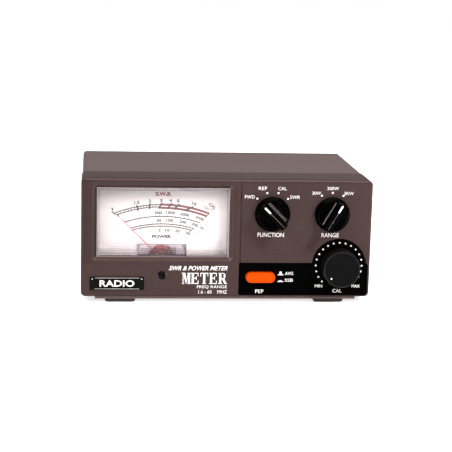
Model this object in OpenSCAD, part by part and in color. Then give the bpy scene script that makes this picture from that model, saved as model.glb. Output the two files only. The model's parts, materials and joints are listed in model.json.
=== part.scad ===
// Bench SWR and power meter: a lit needle meter, two bar knobs, a calibration knob and a push
// button in front, two screw-thread coaxial sockets and a lamp supply jack behind.
// +X is to the right, +Y runs from the front panel to the rear panel, +Z is up.
// The origin is at the middle of the overall box, on the surface that the feet stand on.

/* [Case] */
// Width of the front bezel
bezel_w = 155; // [154:0.5:158]
// Height of the front bezel
bezel_h = 63.4; // [63:0.1:66]
// Depth of the front bezel moulding
bezel_d = 25.6; // [24:0.2:27]
// Depth of the whole case, without knobs and sockets
case_d = 102; // [98:1:110]
// Radius of the bezel's corners
bezel_r = 2.5; // [1.5:0.5:4]
// Thickness of the bezel's front wall
face_t = 3; // [2.6:0.1:3.2]
// Thickness of the bezel's side walls
bezel_t = 2.2; // [1.6:0.1:2.4]
// Sheet thickness of the chassis
chassis_t = 1.2; // [1:0.1:1.2]
// Sheet thickness of the cover
cover_t = 1; // [0.8:0.1:1]
// How far the cover's sides lie inside the bezel's sides
cover_inset = 0.65; // [0.5:0.05:1]

/* [Feet] */
// Height of the rubber feet
foot_h = 2; // [2:0.1:2.4]
// Width of a foot
foot_w = 16; // [14:1:18]
// Depth of a foot
foot_l = 12; // [10:1:14]

/* [Meter] */
// Width of the meter window
window_w = 70.3; // [68:0.1:72]
// Height of the meter window
window_h = 37.2; // [36:0.1:38]
// Middle of the meter window, from the middle of the case
window_x = -34; // [-36:0.1:-33]
// Width of the bevel round the window
window_bevel = 2.6; // [1.5:0.1:3]
// Length of the needle, from its pivot to its tip
needle_l = 31; // [26:0.5:31.5]
// Angle that the needle swings through
needle_span = 90; // [80:1:90]

/* [Controls] */
// Radius of a bar knob's skirt
knob_r = 9.4; // [8.5:0.05:9.6]
// How far a bar knob stands out of the front face
knob_h = 11.5; // [10:0.5:12]
// Radius of the calibration knob
cal_r = 10; // [9:0.1:10.2]
// How far the calibration knob stands out of the front face
cal_h = 10.5; // [9:0.5:12]
// Diameter of the control shafts
shaft_d = 6; // [6:0.1:6.2]
// Length of the push button's face
button_w = 15.8; // [15:0.1:17]
// Height of the push button's face
button_h = 5.4; // [5:0.1:6.4]
// Travel of the push button
button_travel = 3; // [2:0.5:3]

/* [Rear sockets] */
// Distance between the two coaxial sockets
socket_pitch = 52; // [48:1:56]
// Outer radius of the coaxial socket's thread (5/8 inch)
socket_r = 7.94; // [7.9:0.01:7.98]
// Side of the coaxial socket's square flange
flange_w = 25.4; // [25:0.1:26]
// Spacing of the flange's screw holes
flange_pitch = 18.2; // [18:0.1:18.4]
// Radius of the centre contact's bore
contact_r = 2; // [1.9:0.05:2.1]
// Radius of the lamp supply jack's bore
jack_r = 1.8; // [1.75:0.05:1.85]

/* [Hidden] */
eps = 0.02;
$fn = 48;

// Case levels
bezel_z = foot_h + chassis_t;
bezel_top = bezel_z + bezel_h;
front_y = -54;
bezel_back = front_y + bezel_d;
face_back = front_y + face_t;
rear_y = front_y + case_d;
half_w = bezel_w / 2;
cover_x = half_w - cover_inset;
cover_top = bezel_top - 0.2;
flange_x = cover_x - cover_t - 0.15;
strip_x = 70;
flange_top = 15;
foot_x = [-56.6, 55.4];
foot_y = [front_y + 0.4 + foot_l / 2, 38];
foot_screw_r = 1.2;
rim_t = 1.2;
rim_groove = 1.6;
bezel_screw_x = [-38, -12, 12, 38];
bezel_screw_y = -34;
cover_screw_y = [-14, 34];
cover_screw_z = 9.5;
cover_screw_r = 1.25;

// Meter levels
pivot_x = -34.5;
pivot_z = bezel_z + 19.1;
zero_z = bezel_z + 11.6;
window_z0 = bezel_z + 21.2;
lens_y = face_back + 0.2;
lens_t = 1.2;
lens_back = lens_y + lens_t;
rib_count = 5;
rib_pitch = 1.2;
tub_x0 = -72.5;
tub_x1 = 4.5;
tub_z0 = 7;
tub_z1 = bezel_top - bezel_t - 0.2;
tub_t = 1.2;
tub_back = front_y + 30;
dial_y = front_y + 8.5;
dial_t = 0.6;
needle_y = front_y + 6.9;
tail_l = 5.4;
coil_y0 = front_y + 8.4;
coil_y1 = front_y + 24.2;
coil_bar = 1.4;
coil_r = 6.4;
coil_w = 3;
yoke_y0 = coil_y0 + coil_bar + 0.2;
yoke_y1 = coil_y1 - coil_bar - 0.2;
yoke_r = 12.9;
yoke_bore = 7.4;
core_r = 4.6;
bridge_y = front_y + 5;
bridge_t = 0.8;
bridge_w = 26;
bridge_h = 4.6;
bridge_post = 11;
zero_r = 2.2;
zero_e = 1.2;
zero_pin_r = 0.4;
arm_y = front_y + 6;
meter_screw_x = [tub_x0 + 3, tub_x1 - 3];
meter_screw_z = 11;
small_screw_r = 1.1;
lamp_x = [-62, -8];
lamp_z = 50;
terminal_dx = 19;
dial_post = 30;
yoke_post = 10.3;

// Control positions
function_x = 23.6;
range_x = 55.7;
knob_z = bezel_z + 45.3;
cal_x = 60.5;
cal_z = bezel_z + 17.3;
cal_rest = -135;
dimple_at = 7.6;
dimple_r = 0.9;
function_rest = -45;
range_rest = 30;
button_x = 18.1;
button_z = bezel_z + 11;
button_gap = 0.25;
button_out = button_travel + 0.5;
shaft_r = shaft_d / 2;
tip_r = 1.9;
bush_r = 4.5;
run_gap = 0.05;
switch_r = 12;
switch_y1 = front_y + 16;
spring_turns = 6;
spring_pitch = 0.42;
pot_r = 8.5;
pot_y1 = front_y + 13;
pcb_y = front_y + 18.4;
pcb_t = 1.6;
pcb_x0 = 8;
pcb_x1 = 74.5;
pcb_z0 = 8;
pcb_z1 = 63.5;
pin_ring = 9.5;
pin_angles = [for (i = [0 : 11]) i * 30 + 15];
pin_out = 0.8;
mode_pin_x = [-3, 0, 3];
mode_pin_z = [-2.5, 2.5];
knob_gap = 0.8;
pcb_holes = [[12, 60], [70.5, 60], [10.5, 28], [71.5, 33]];

// Overlay on the lower right of the front face
overlay_x0 = 6.6;
overlay_x1 = 76.4;
overlay_z0 = bezel_z + 0.9;
overlay_z1 = bezel_z + 18.6;
overlay_disc = 14.6;
overlay_r = 2;
overlay_t = 0.5;

// Badge plate on the lower left of the front face
badge_x0 = -72.6;
badge_x1 = -44;
badge_z0 = bezel_z + 3.8;
badge_z1 = bezel_z + 10.8;
badge_t = 0.5;

// Rear levels
socket_z = 36;
socket_x = socket_pitch / 2;
socket_end = knob_h - front_y;
insulator_r = 6.28;
contact_out_r = 2.88;
flange_t = 1.6;
panel_in = rear_y - chassis_t;
box_x = 46;
box_z0 = 15;
box_z1 = 57;
box_y0 = rear_y - 30;
box_t = 0.8;
line_y = rear_y - 14;
jack_x = 63;
jack_z = 20;
jack_out_r = 4;
toroid_r = 9;
toroid_in = 4.2;
toroid_t = 7;
toroid_turns = 16;
board_y = box_y0 + 2.4;
lid_screws = [[-42, 19], [42, 19], [-42, 53], [42, 53]];

// ---- Building blocks ----

// A box between two opposite corners
module block(x0, x1, y0, y1, z0, z1) {
    translate([x0, y0, z0]) cube([x1 - x0, y1 - y0, z1 - z0]);
}

// A cylinder along Y, from y0 back to y1, or a cone from r to r1
module rod_y(x, z, r, y0, y1, r1 = -1, sides = 48) {
    translate([x, y0, z]) rotate([-90, 0, 0])
        cylinder(h = y1 - y0, r1 = r, r2 = r1 < 0 ? r : r1, $fn = sides);
}

// A cylinder along Z, from z0 up to z1
module rod_z(x, y, r, z0, z1) {
    translate([x, y, z0]) cylinder(h = z1 - z0, r = r, $fn = 32);
}

// A cylinder along X, from x0 to x1
module rod_x(y, z, r, x0, x1) {
    translate([x0, y, z]) rotate([0, 90, 0]) cylinder(h = x1 - x0, r = r, $fn = 32);
}

// A rectangle with round corners, between x0 and x1, z0 and z1
module round_rect(x0, x1, z0, z1, r, sides = 32) {
    translate([x0 + r, z0]) square([x1 - x0 - 2 * r, z1 - z0]);
    if (z1 - z0 > 2 * r + eps) translate([x0, z0 + r]) square([x1 - x0, z1 - z0 - 2 * r]);
    for (x = [x0 + r, x1 - r], z = z1 - z0 > 2 * r + eps ? [z0 + r, z1 - r] : [z0 + r])
        translate([x, z]) circle(r, $fn = sides);
}

// The points of such a rectangle, with a few points round each corner
function round_points(x0, x1, z0, z1, r, steps = 6) = [
    for (corner = [0 : 3], i = [0 : steps]) let (a = corner * 90 + i * 90 / steps)
        [(corner == 0 || corner == 3 ? x1 - r : x0 + r) + r * cos(a),
        (corner < 2 ? z1 - r : z0 + r) + r * sin(a)]];

// A solid that runs through a row of outlines, each given as [y, points] with as many points
module loft(steps) {
    n = len(steps[0][1]);
    last = (len(steps) - 1) * n;
    polyhedron([for (s = steps, p = s[1]) [p[0], s[0], p[1]]],
        concat([[for (j = [0 : n - 1]) n - 1 - j]], [[for (j = [0 : n - 1]) last + j]],
            [for (i = [0 : len(steps) - 2], j = [0 : n - 1]) let (k = (j + 1) % n)
                [i * n + j, i * n + k, (i + 1) * n + k, (i + 1) * n + j]]));
}

// An outline drawn in X and Z, made solid from y0 back to y1
module slab(y0, y1) {
    translate([0, y1, 0]) rotate([90, 0, 0]) linear_extrude(y1 - y0) children();
}

// Shapes made around the Y axis, moved to a control's axis
module at_axis(x, z) {
    translate([x, 0, z]) children();
}

// Cuts the corners off a path, which makes its bends round
function cut_corners(p) = concat([p[0]], [for (i = [0 : len(p) - 2], t = [0.25, 0.75])
    if ((i > 0 || t > 0.5) && (i < len(p) - 2 || t < 0.5)) p[i] + t * (p[i + 1] - p[i])], [p[len(p) - 1]]);

// The directions across a path at one of its points
function path_dir(p, i) = p[min(i + 1, len(p) - 1)] - p[max(i - 1, 0)];
function unit(v) = v / norm(v);

// A round wire along a path; side is any direction that the path never takes
module wire(path, r, side = [1, 2, -3]) {
    p = cut_corners(cut_corners(path));
    n = 8;
    rings = [for (i = [0 : len(p) - 1])
        let (t = path_dir(p, i), u = unit(cross(t, side)), v = unit(cross(t, u)))
        for (j = [0 : n - 1]) p[i] + r * (cos(j * 360 / n) * u + sin(j * 360 / n) * v)];
    last = (len(p) - 1) * n;
    polyhedron(rings, concat([[for (j = [0 : n - 1]) j]], [[for (j = [0 : n - 1]) last + n - 1 - j]],
        [for (i = [0 : len(p) - 2], j = [0 : n - 1]) let (k = (j + 1) % n)
            [i * n + j, (i + 1) * n + j, (i + 1) * n + k, i * n + k]]));
}

// A pan-head screw along Y: the head in front at y0, the shank back to y1
module screw_y(x, z, y0, y1, head_r, head_t, shank_r) {
    difference() {
        union() {
            rod_y(x, z, head_r, y0, y0 + head_t);
            rod_y(x, z, shank_r, y0 + head_t - eps, y1);
        }
        for (a = [0, 90]) translate([x, y0 - eps, z]) rotate([0, a, 0])
            translate([-head_r * 0.6, 0, -0.3]) cube([head_r * 1.2, head_t * 0.5, 0.6]);
    }
}

// The same screw with its head behind at y1, its shank forward to y0
module screw_y_back(x, z, y0, y1, head_r, head_t, shank_r) {
    translate([0, y0 + y1, 0]) mirror([0, 1, 0]) screw_y(x, z, y0, y1, head_r, head_t, shank_r);
}

// A pan-head screw along Z, driven from below: the head at z0, the shank up to z1
module screw_z(x, y, z0, z1, head_r, head_t, shank_r) {
    difference() {
        union() {
            rod_z(x, y, head_r, z0, z0 + head_t);
            rod_z(x, y, shank_r, z0 + head_t - eps, z1);
        }
        for (a = [0, 90]) translate([x, y, z0 - eps]) rotate([0, 0, a])
            translate([-head_r * 0.6, -0.3, 0]) cube([head_r * 1.2, 0.6, head_t * 0.5]);
    }
}

// A hexagon nut round the Y axis
module nut_y(x, z, across, y0, y1, bore_r) {
    difference() {
        translate([x, y0, z]) rotate([-90, 0, 0])
            cylinder(h = y1 - y0, r = across / sqrt(3), $fn = 6);
        rod_y(x, z, bore_r, y0 - 1, y1 + 1);
    }
}

// ---- Case ----

// The bottom sheet, narrower under the bezel, with folded sides that the cover is screwed to
module chassis() {
    color("darkgray") difference() {
        union() {
            block(-strip_x, strip_x, front_y + 0.4, bezel_back + 1, foot_h, bezel_z);
            block(-flange_x, flange_x, bezel_back, rear_y, foot_h, bezel_z);
            for (s = [-1, 1]) block(
                s > 0 ? flange_x - chassis_t : -flange_x, s > 0 ? flange_x : -flange_x + chassis_t,
                bezel_back + 0.6, panel_in - 0.1, foot_h, flange_top);
        }
        for (x = foot_x, y = foot_y) rod_z(x, y, foot_screw_r + 0.1, 0, bezel_z + 1);
        for (x = bezel_screw_x) rod_z(x, bezel_screw_y, 1.5, 0, bezel_z + 1);
        for (y = cover_screw_y) {
            rod_x(y, cover_screw_z, cover_screw_r + 0.05, flange_x - 3, flange_x + 1);
            rod_x(y, cover_screw_z, cover_screw_r + 0.05, -flange_x - 1, 3 - flange_x);
        }
    }
}

// The upright sheet behind, welded to the bottom sheet, with the sockets' holes
module rear_panel() {
    color("darkgray") difference() {
        block(-flange_x, flange_x, panel_in, rear_y, bezel_z, cover_top - cover_t - 0.15);
        for (s = [-1, 1]) {
            rod_y(s * socket_x, socket_z, socket_r + 0.3, panel_in - 1, rear_y + 1);
            for (dx = [-1, 1], dz = [-1, 1])
                rod_y(s * socket_x + dx * flange_pitch / 2, socket_z + dz * flange_pitch / 2, 1.6,
                    panel_in - 1, rear_y + 1);
        }
        rod_y(jack_x, jack_z, jack_out_r + 0.1, panel_in - 1, rear_y + 1);
    }
}

module top_cover() {
    color("rosybrown") difference() {
        slab(bezel_back - 2, rear_y) difference() {
            round_rect(-cover_x, cover_x, bezel_z, cover_top, 2.2);
            round_rect(-cover_x + cover_t, cover_x - cover_t, bezel_z - 9, cover_top - cover_t, 1.4);
        }
        for (y = cover_screw_y)
            rod_x(y, cover_screw_z, cover_screw_r + 0.35, -cover_x - 1, cover_x + 1);
        block(-cover_x - 1, cover_x + 1, bezel_back - 3, bezel_back + 0.15, 0, bezel_z + 1.2);
    }
}

module cover_screws() {
    color("dimgray") for (y = cover_screw_y, s = [-1, 1]) translate([0, y, cover_screw_z])
        rotate([0, 0, s * 90])
            screw_y(0, 0, -cover_x - 0.6, -cover_x + 4.4, 3, 0.6, cover_screw_r);
}

// The outline of the bezel, grown by a margin
module bezel_outline(grow) {
    round_rect(-half_w - grow, half_w + grow, bezel_z - grow, bezel_top + grow, bezel_r + grow / 2);
}

module front_bezel() {
    color("dimgray") difference() {
        union() {
            loft([for (step = [[0, 0.9], [0.3, 0.3], [1, 0]]) [front_y + step[0], round_points(
                step[1] - half_w, half_w - step[1], bezel_z + step[1], bezel_top - step[1],
                bezel_r - step[1] / 2)]]);
            slab(front_y + 0.95, bezel_back) bezel_outline(0);
        }
        // hollow inside, deeper behind for the cover's edge
        slab(face_back, bezel_back + 1)
            round_rect(-half_w + bezel_t, half_w - bezel_t, bezel_z + bezel_t, bezel_top - bezel_t, 1.5);
        slab(bezel_back - 2.3, bezel_back + 1)
            round_rect(-cover_x - 0.15, cover_x + 0.15, bezel_z + 1, cover_top + 0.15, 1.8);
        // groove behind the front rim, and the groove between meter and controls
        slab(front_y + rim_t, front_y + rim_t + rim_groove) difference() {
            bezel_outline(1);
            bezel_outline(-0.6);
        }
        block(6.7, 7.3, front_y - 1, front_y + 0.5, bezel_z + 18.6, bezel_top - 0.4);
        // meter window with its bevel
        block(window_x - window_w / 2, window_x + window_w / 2, front_y - 1, face_back + 1,
            window_z0, window_z0 + window_h);
        loft([for (step = [[front_y - 0.1, window_bevel, 2], [face_back - 0.4, 0, 0.6]])
            [step[0], round_points(window_x - window_w / 2 - step[1],
                window_x + window_w / 2 + step[1], window_z0 - step[1],
                window_z0 + window_h + step[1], step[2])]]);
        // holes for the controls
        rod_y(pivot_x, zero_z, zero_r + 0.25, front_y - 1, face_back + 1);
        for (x = [function_x, range_x]) rod_y(x, knob_z, bush_r + 0.1, front_y - 1, face_back + 1);
        rod_y(cal_x, cal_z, bush_r - 0.9, front_y - 1, face_back + 1);
        slab(front_y - 1, face_back + 1) button_outline(button_gap);
        // pockets for the overlay and the badge
        slab(front_y - 1, front_y + overlay_t) overlay_outline(0.1);
        slab(front_y - 1, front_y + badge_t) badge_outline(0.1);
        for (x = bezel_screw_x) rod_z(x, bezel_screw_y, 1.25, bezel_z - 1, bezel_z + bezel_t + 1);
        for (x = foot_x)
            rod_z(x, foot_y[0], foot_screw_r + 0.05, bezel_z - 1, bezel_z + bezel_t + 1);
        for (x = meter_screw_x)
            rod_y(x, meter_screw_z, small_screw_r + 0.05, face_back - 1.8, face_back + 1);
    }
    color("dimgray") for (p = pcb_holes) difference() {
        rod_y(p[0], p[1], 2.6, face_back - eps, pcb_y);
        rod_y(p[0], p[1], small_screw_r + 0.05, pcb_y - 8, pcb_y + 1);
    }
}

module bezel_screws() {
    color("silver") for (x = bezel_screw_x)
        screw_z(x, bezel_screw_y, foot_h - 1.2, bezel_z + bezel_t + 1, 2.6, 1.2, 1.2);
}

// The black area: a bar along the bottom with a disc round the calibration knob
module overlay_outline(grow) {
    round_rect(overlay_x0 - grow, overlay_x1 - 5, overlay_z0 - grow, overlay_z1 + grow, 1);
    round_rect(overlay_x0 + 5, overlay_x1 + grow, overlay_z0 - grow, overlay_z1 + grow, overlay_r);
    intersection() {
        translate([cal_x, cal_z]) circle(overlay_disc + grow, $fn = 96);
        round_rect(overlay_x0, overlay_x1 + grow, overlay_z0, bezel_top, overlay_r);
    }
}

module control_overlay() {
    color([0.03, 0.03, 0.03]) slab(front_y, front_y + overlay_t) difference() {
        overlay_outline(0);
        button_outline(button_gap);
        translate([cal_x, cal_z]) circle(bush_r - 0.8, $fn = 48);
    }
}

module badge_outline(grow) {
    round_rect(badge_x0 - grow, badge_x1 + grow, badge_z0 - grow, badge_z1 + grow, 0.5);
}

module badge_plate() {
    color([0.02, 0.02, 0.02]) slab(front_y - badge_t, front_y + badge_t) badge_outline(0);
}

module feet() {
    color([0.27, 0.22, 0.23]) for (x = foot_x, y = foot_y) difference() {
        hull() {
            translate([x, y, 0]) linear_extrude(0.1)
                foot_outline(-1);
            translate([x, y, 0.9]) linear_extrude(foot_h - 0.9)
                foot_outline(0);
        }
        rod_z(x, y, foot_screw_r + 0.1, -1, foot_h + 1);
        rod_z(x, y, 2.7, -1, 1.2);
    }
}

module foot_outline(grow) {
    offset(grow) square([foot_w, foot_l], center = true);
}

module foot_screws() {
    color("silver") for (x = foot_x, y = foot_y)
        screw_z(x, y, 0.3, bezel_z + 1.6, 2.4, 0.9, foot_screw_r);
}

// ---- Panel meter ----

module meter_lens() {
    color([0.85, 0.9, 0.95, 0.35]) difference() {
        union() {
            slab(lens_y, lens_back) round_rect(tub_x0, tub_x1, tub_z0, tub_z1, 1);
            slab(lens_y - 0.9, lens_y + eps) round_rect(window_x - window_w / 2 + 0.3,
                window_x + window_w / 2 - 0.3, window_z0 + 0.3, window_z0 + window_h - 0.3, 0.5);
            // prism ribs across the foot of the window
            for (i = [0 : rib_count - 1])
                translate([window_x, lens_y - 0.9, window_z0 + 1.1 + i * rib_pitch])
                rotate([45, 0, 0]) cube([window_w - 1.2, 0.5, 0.5], center = true);
        }
        rod_y(pivot_x, zero_z, 1.25, lens_y - 1, lens_back + 1);
        for (x = meter_screw_x)
            rod_y(x, meter_screw_z, small_screw_r + 0.2, lens_y - 1, lens_back + 1);
    }
}

module meter_case() {
    color([0.9, 0.9, 0.88]) difference() {
        union() {
            difference() {
                slab(lens_back, tub_back) round_rect(tub_x0, tub_x1, tub_z0, tub_z1, 1);
                slab(lens_back - 1, tub_back - tub_t)
                    round_rect(tub_x0 + tub_t, tub_x1 - tub_t, tub_z0 + tub_t, tub_z1 - tub_t, 1);
            }
            // pillars for the case screws, and posts that carry the dial and the movement
            for (x = meter_screw_x) rod_y(x, meter_screw_z, 2.4, lens_back, tub_back - tub_t + eps);
            for (dx = [-dial_post, dial_post])
                rod_y(pivot_x + dx, 30, 2, dial_y + dial_t, tub_back - tub_t + eps);
            for (dz = [-yoke_post, yoke_post])
                rod_y(pivot_x, pivot_z + dz, 1.8, yoke_y1, tub_back - tub_t + eps);
        }
        for (x = meter_screw_x)
            rod_y(x, meter_screw_z, small_screw_r + 0.2, lens_back - 1, tub_back + 1);
        for (x = lamp_x) rod_y(x, lamp_z, 3.6, tub_back - 2, tub_back + 1);
        for (dx = [-terminal_dx, terminal_dx])
            rod_y(pivot_x + dx, pivot_z, 1.6, tub_back - 2, tub_back + 1);
    }
}

module meter_screws() {
    color("silver") for (x = meter_screw_x)
        screw_y_back(x, meter_screw_z, face_back - 1.5, tub_back + 1.4, 2.4, 1.4, small_screw_r);
}

module dial_plate() {
    color("white") slab(dial_y, dial_y + dial_t) difference() {
        round_rect(tub_x0 + 1.6, tub_x1 - 1.6, 15, tub_z1 - 1.6, 0.6);
        translate([pivot_x - bridge_w / 2 - 0.4, 14])
            square([bridge_w + 0.8, pivot_z + 7.4 - 14]);
    }
}

module meter_yoke() {
    color("gray") slab(yoke_y0, yoke_y1) translate([pivot_x, pivot_z]) difference() {
        circle(yoke_r, $fn = 64);
        circle(yoke_bore, $fn = 64);
    }
}

// The core is carried by two bars, in the two quarters that the coil never enters
module core_magnet() {
    color("slategray") {
        rod_y(pivot_x, pivot_z, core_r, yoke_y0 + 0.1, yoke_y1 - 0.1);
        for (a = [45, 225]) translate([pivot_x, 0, pivot_z]) rotate([0, -a, 0])
            block(core_r - 0.3, yoke_bore, -38.5, -36.5, -0.6, 0.6);
    }
}

module movement_bridges() {
    color("lightgray") difference() {
        union() {
            slab(bridge_y, bridge_y + bridge_t) round_rect(pivot_x - bridge_w / 2, pivot_x + bridge_w / 2,
                pivot_z - bridge_h / 2, pivot_z + bridge_h / 2, 1);
            slab(coil_y1 + 1.2, coil_y1 + 2.4) round_rect(pivot_x - bridge_w / 2,
                pivot_x + bridge_w / 2, pivot_z - bridge_h / 2, pivot_z + bridge_h / 2, 1);
            for (dx = [-bridge_post, bridge_post]) {
                rod_y(pivot_x + dx, pivot_z, 1.1, front_y + 5.7, yoke_y0);
                rod_y(pivot_x + dx, pivot_z, 1.1, yoke_y1, coil_y1 + 1.3);
            }
        }
        rod_y(pivot_x, pivot_z, 1.5, front_y + 4.5, front_y + 6.5);
        rod_y(pivot_x, pivot_z, 1.5, coil_y1 + 1, coil_y1 + 3);
    }
}

module jewel_screws() {
    color("goldenrod") {
        difference() {
            rod_y(pivot_x, pivot_z, 1.5, lens_back + 0.2, front_y + 6.6);
            rod_y(pivot_x, pivot_z, 0.45, front_y + 5.5, front_y + 7);
        }
        difference() {
            rod_y(pivot_x, pivot_z, 1.5, coil_y1 + 0.5, coil_y1 + 3.2);
            rod_y(pivot_x, pivot_z, 0.45, coil_y1, coil_y1 + 1.6);
        }
    }
}

// The coil is a frame of wire that lies level at rest and turns about the pivot
module moving_coil() {
    color("sienna") difference() {
        block(pivot_x - coil_r, pivot_x + coil_r, coil_y0, coil_y1,
            pivot_z - coil_w / 2, pivot_z + coil_w / 2);
        block(pivot_x - coil_r + coil_bar, pivot_x + coil_r - coil_bar,
            coil_y0 + coil_bar, coil_y1 - coil_bar, pivot_z - coil_w, pivot_z + coil_w);
    }
}

// The needle, its hub and tail weights, and the two pivots it turns on
module needle() {
    color("indianred") {
        rod_y(pivot_x, pivot_z, 1.3, needle_y - 0.1, coil_y0);
        at_axis(pivot_x, pivot_z) rotate([0, -needle_span / 2, 0]) {
            slab(needle_y, needle_y + 0.3)
                polygon([[-0.3, 0], [0.3, 0], [0.15, needle_l], [-0.15, needle_l]]);
            slab(needle_y, needle_y + 0.3)
                polygon([[-0.5, 0], [0.5, 0], [0.5, -tail_l], [-0.5, -tail_l]]);
            rod_y(0, -tail_l, 1, needle_y, needle_y + 0.4);
        }
        rod_y(pivot_x, pivot_z, 0.25, front_y + 5.7, needle_y);
        rod_y(pivot_x, pivot_z, 0.25, coil_y1 - eps, coil_y1 + 1.4);
    }
}

// A flat spiral strip: turns from radius r0 out to r1, as one outline
function spiral(r0, r1, turns, half, steps) = concat(
    [for (i = [0 : steps * turns]) let (a = i * 360 / steps, r = r0 + (r1 - r0) * i / (steps * turns))
        [(r - half) * cos(a), (r - half) * sin(a)]],
    [for (j = [0 : steps * turns]) let (i = steps * turns - j, a = i * 360 / steps,
        r = r0 + (r1 - r0) * i / (steps * turns)) [(r + half) * cos(a), (r + half) * sin(a)]]);

module hairsprings() {
    color("peru") {
        at_axis(pivot_x, pivot_z) slab(needle_y + 0.6, needle_y + 1.2)
            polygon(spiral(1.46, 5.4, 4, 0.12, 20));
        at_axis(pivot_x, pivot_z) slab(coil_y1 + 0.1, coil_y1 + 0.4)
            polygon(spiral(0.42, 4.4, 4, 0.12, 20));
    }
}

// The arm turns on the front jewel screw, and its fork straddles the zero screw's pin
module zero_arm() {
    color("lightsteelblue") slab(arm_y, arm_y + 0.45) difference() {
        union() {
            translate([pivot_x, pivot_z]) circle(2.5, $fn = 48);
            translate([pivot_x - 1.35, zero_z - 0.3]) square([2.7, pivot_z - zero_z]);
            translate([pivot_x + 1.4, pivot_z - 0.5]) square([4.4, 1]);
        }
        translate([pivot_x, pivot_z]) circle(1.57, $fn = 48);
        translate([pivot_x - 0.75, zero_z - 1]) square([1.5, 3.4]);
    }
}

module zero_screw() {
    color("gainsboro") {
        difference() {
            rod_y(pivot_x, zero_z, zero_r, front_y + 1.8, front_y + 3.05);
            translate([pivot_x, front_y + 1.8, zero_z]) rotate([0, 20, 0])
                cube([4.4, 1.2, 0.6], center = true);
        }
        rod_y(pivot_x, zero_z, 1.2, front_y + 3, lens_back + 0.3);
        rod_y(pivot_x, zero_z, 1.9, lens_back + 0.2, lens_back + 0.8);
        rod_y(pivot_x, zero_z + zero_e, zero_pin_r, lens_back + 0.7, front_y + 6.6);
    }
}

module dial_lamps() {
    color([1, 0.9, 0.6, 0.6]) for (x = lamp_x) {
        rod_y(x, lamp_z, 1.9, tub_back - 9, tub_back + 1);
        translate([x, tub_back - 9, lamp_z]) sphere(1.9, $fn = 32);
    }
}

module lamp_holders() {
    color([0.1, 0.1, 0.1]) for (x = lamp_x) difference() {
        union() {
            rod_y(x, lamp_z, 3.55, tub_back - 1.3, tub_back + 0.3);
            rod_y(x, lamp_z, 4.6, tub_back, tub_back + 1.6);
            rod_y(x, lamp_z, 4.4, tub_back - 2.4, tub_back - 1.3);
        }
        rod_y(x, lamp_z, 1.95, tub_back - 4, tub_back + 3);
    }
}

module meter_terminals() {
    color("khaki") for (dx = [-terminal_dx, terminal_dx]) {
        rod_y(pivot_x + dx, pivot_z, 1.5, tub_back - 3, tub_back + 7);
        nut_y(pivot_x + dx, pivot_z, 5.5, tub_back + 0.05, tub_back + 2.2, 1.45);
        slab(tub_back + 2.25, tub_back + 2.75) difference() {
            round_rect(pivot_x + dx - 2.8, pivot_x + dx + 2.8, pivot_z - 2.8, pivot_z + 7, 1);
            translate([pivot_x + dx, pivot_z + 4.9]) circle(0.7);
        }
        nut_y(pivot_x + dx, pivot_z, 5.5, tub_back + 2.8, tub_back + 4.8, 1.45);
    }
}

// ---- Controls ----

// A rotary switch: a round body with a threaded bush in front and pins behind
module rotary_switch(x) {
    color("steelblue") difference() {
        union() {
            rod_y(x, knob_z, switch_r, face_back, switch_y1, -1, 64);
            rod_y(x, knob_z, bush_r, front_y - 2.6, face_back + eps);
            for (a = pin_angles) rod_y(x + pin_ring * sin(a), knob_z + pin_ring * cos(a), 0.5,
                switch_y1 - eps, pcb_y + pcb_t + pin_out, -1, 16);
        }
        rod_y(x, knob_z, 8, face_back + 2, switch_y1 - 1.5);
        rod_y(x, knob_z, shaft_r + run_gap, front_y - 4, face_back + 3);
    }
}

module bush_nut(x, z, r) {
    color("silver") {
        nut_y(x, z, r * 2 + 1.8, front_y - 2, front_y - 0.45, r + 0.02);
        difference() {
            rod_y(x, z, r + 1.6, front_y - 0.4, front_y);
            rod_y(x, z, r + 0.1, front_y - 1, front_y + 1);
        }
    }
}

// The selector shaft: a rotor disc inside the switch and a thinner end inside the knob's bar
module selector_shaft(x) {
    color("lightgray") {
        rod_y(x, knob_z, tip_r, front_y - 9.4, front_y - 4.3);
        rod_y(x, knob_z, shaft_r, front_y - 4.4, switch_y1 - 4);
        rod_y(x, knob_z, 7.4, face_back + 5, face_back + 8);
    }
}

// The bar knob, drawn with its bar upright
module bar_knob(x, angle) {
    at_axis(x, knob_z) rotate([0, angle, 0]) color([0.04, 0.04, 0.04]) difference() {
        union() {
            rod_y(0, 0, knob_r, front_y - 2.2, front_y - knob_gap, -1, 96);
            rod_y(0, 0, knob_r - 1.6, front_y - 4.6, front_y - 2.2 + eps, knob_r, 96);
            hull() {
                block(-3.3, 3.3, front_y - 3.4, front_y - 3.3, -8.4, 8.4);
                block(-2.15, 2.15, front_y - knob_h + 0.3, front_y - knob_h + 0.4, -7.9, 7.9);
                block(-1.85, 1.85, front_y - knob_h, front_y - knob_h + 0.1, -7.5, 7.5);
            }
        }
        rod_y(0, 0, 7.4, front_y - 2.9, front_y);
        rod_y(0, 0, shaft_r + 0.02, front_y - 4.5, front_y);
        rod_y(0, 0, tip_r + 0.02, front_y - 9.6, front_y);
    }
}

module function_switch() { rotary_switch(function_x); }
module function_nut() { bush_nut(function_x, knob_z, bush_r); }
module function_shaft() { selector_shaft(function_x); }
module function_knob() { bar_knob(function_x, function_rest); }
module range_switch() { rotary_switch(range_x); }
module range_nut() { bush_nut(range_x, knob_z, bush_r); }
module range_shaft() { selector_shaft(range_x); }
module range_knob() { bar_knob(range_x, range_rest); }

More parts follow.
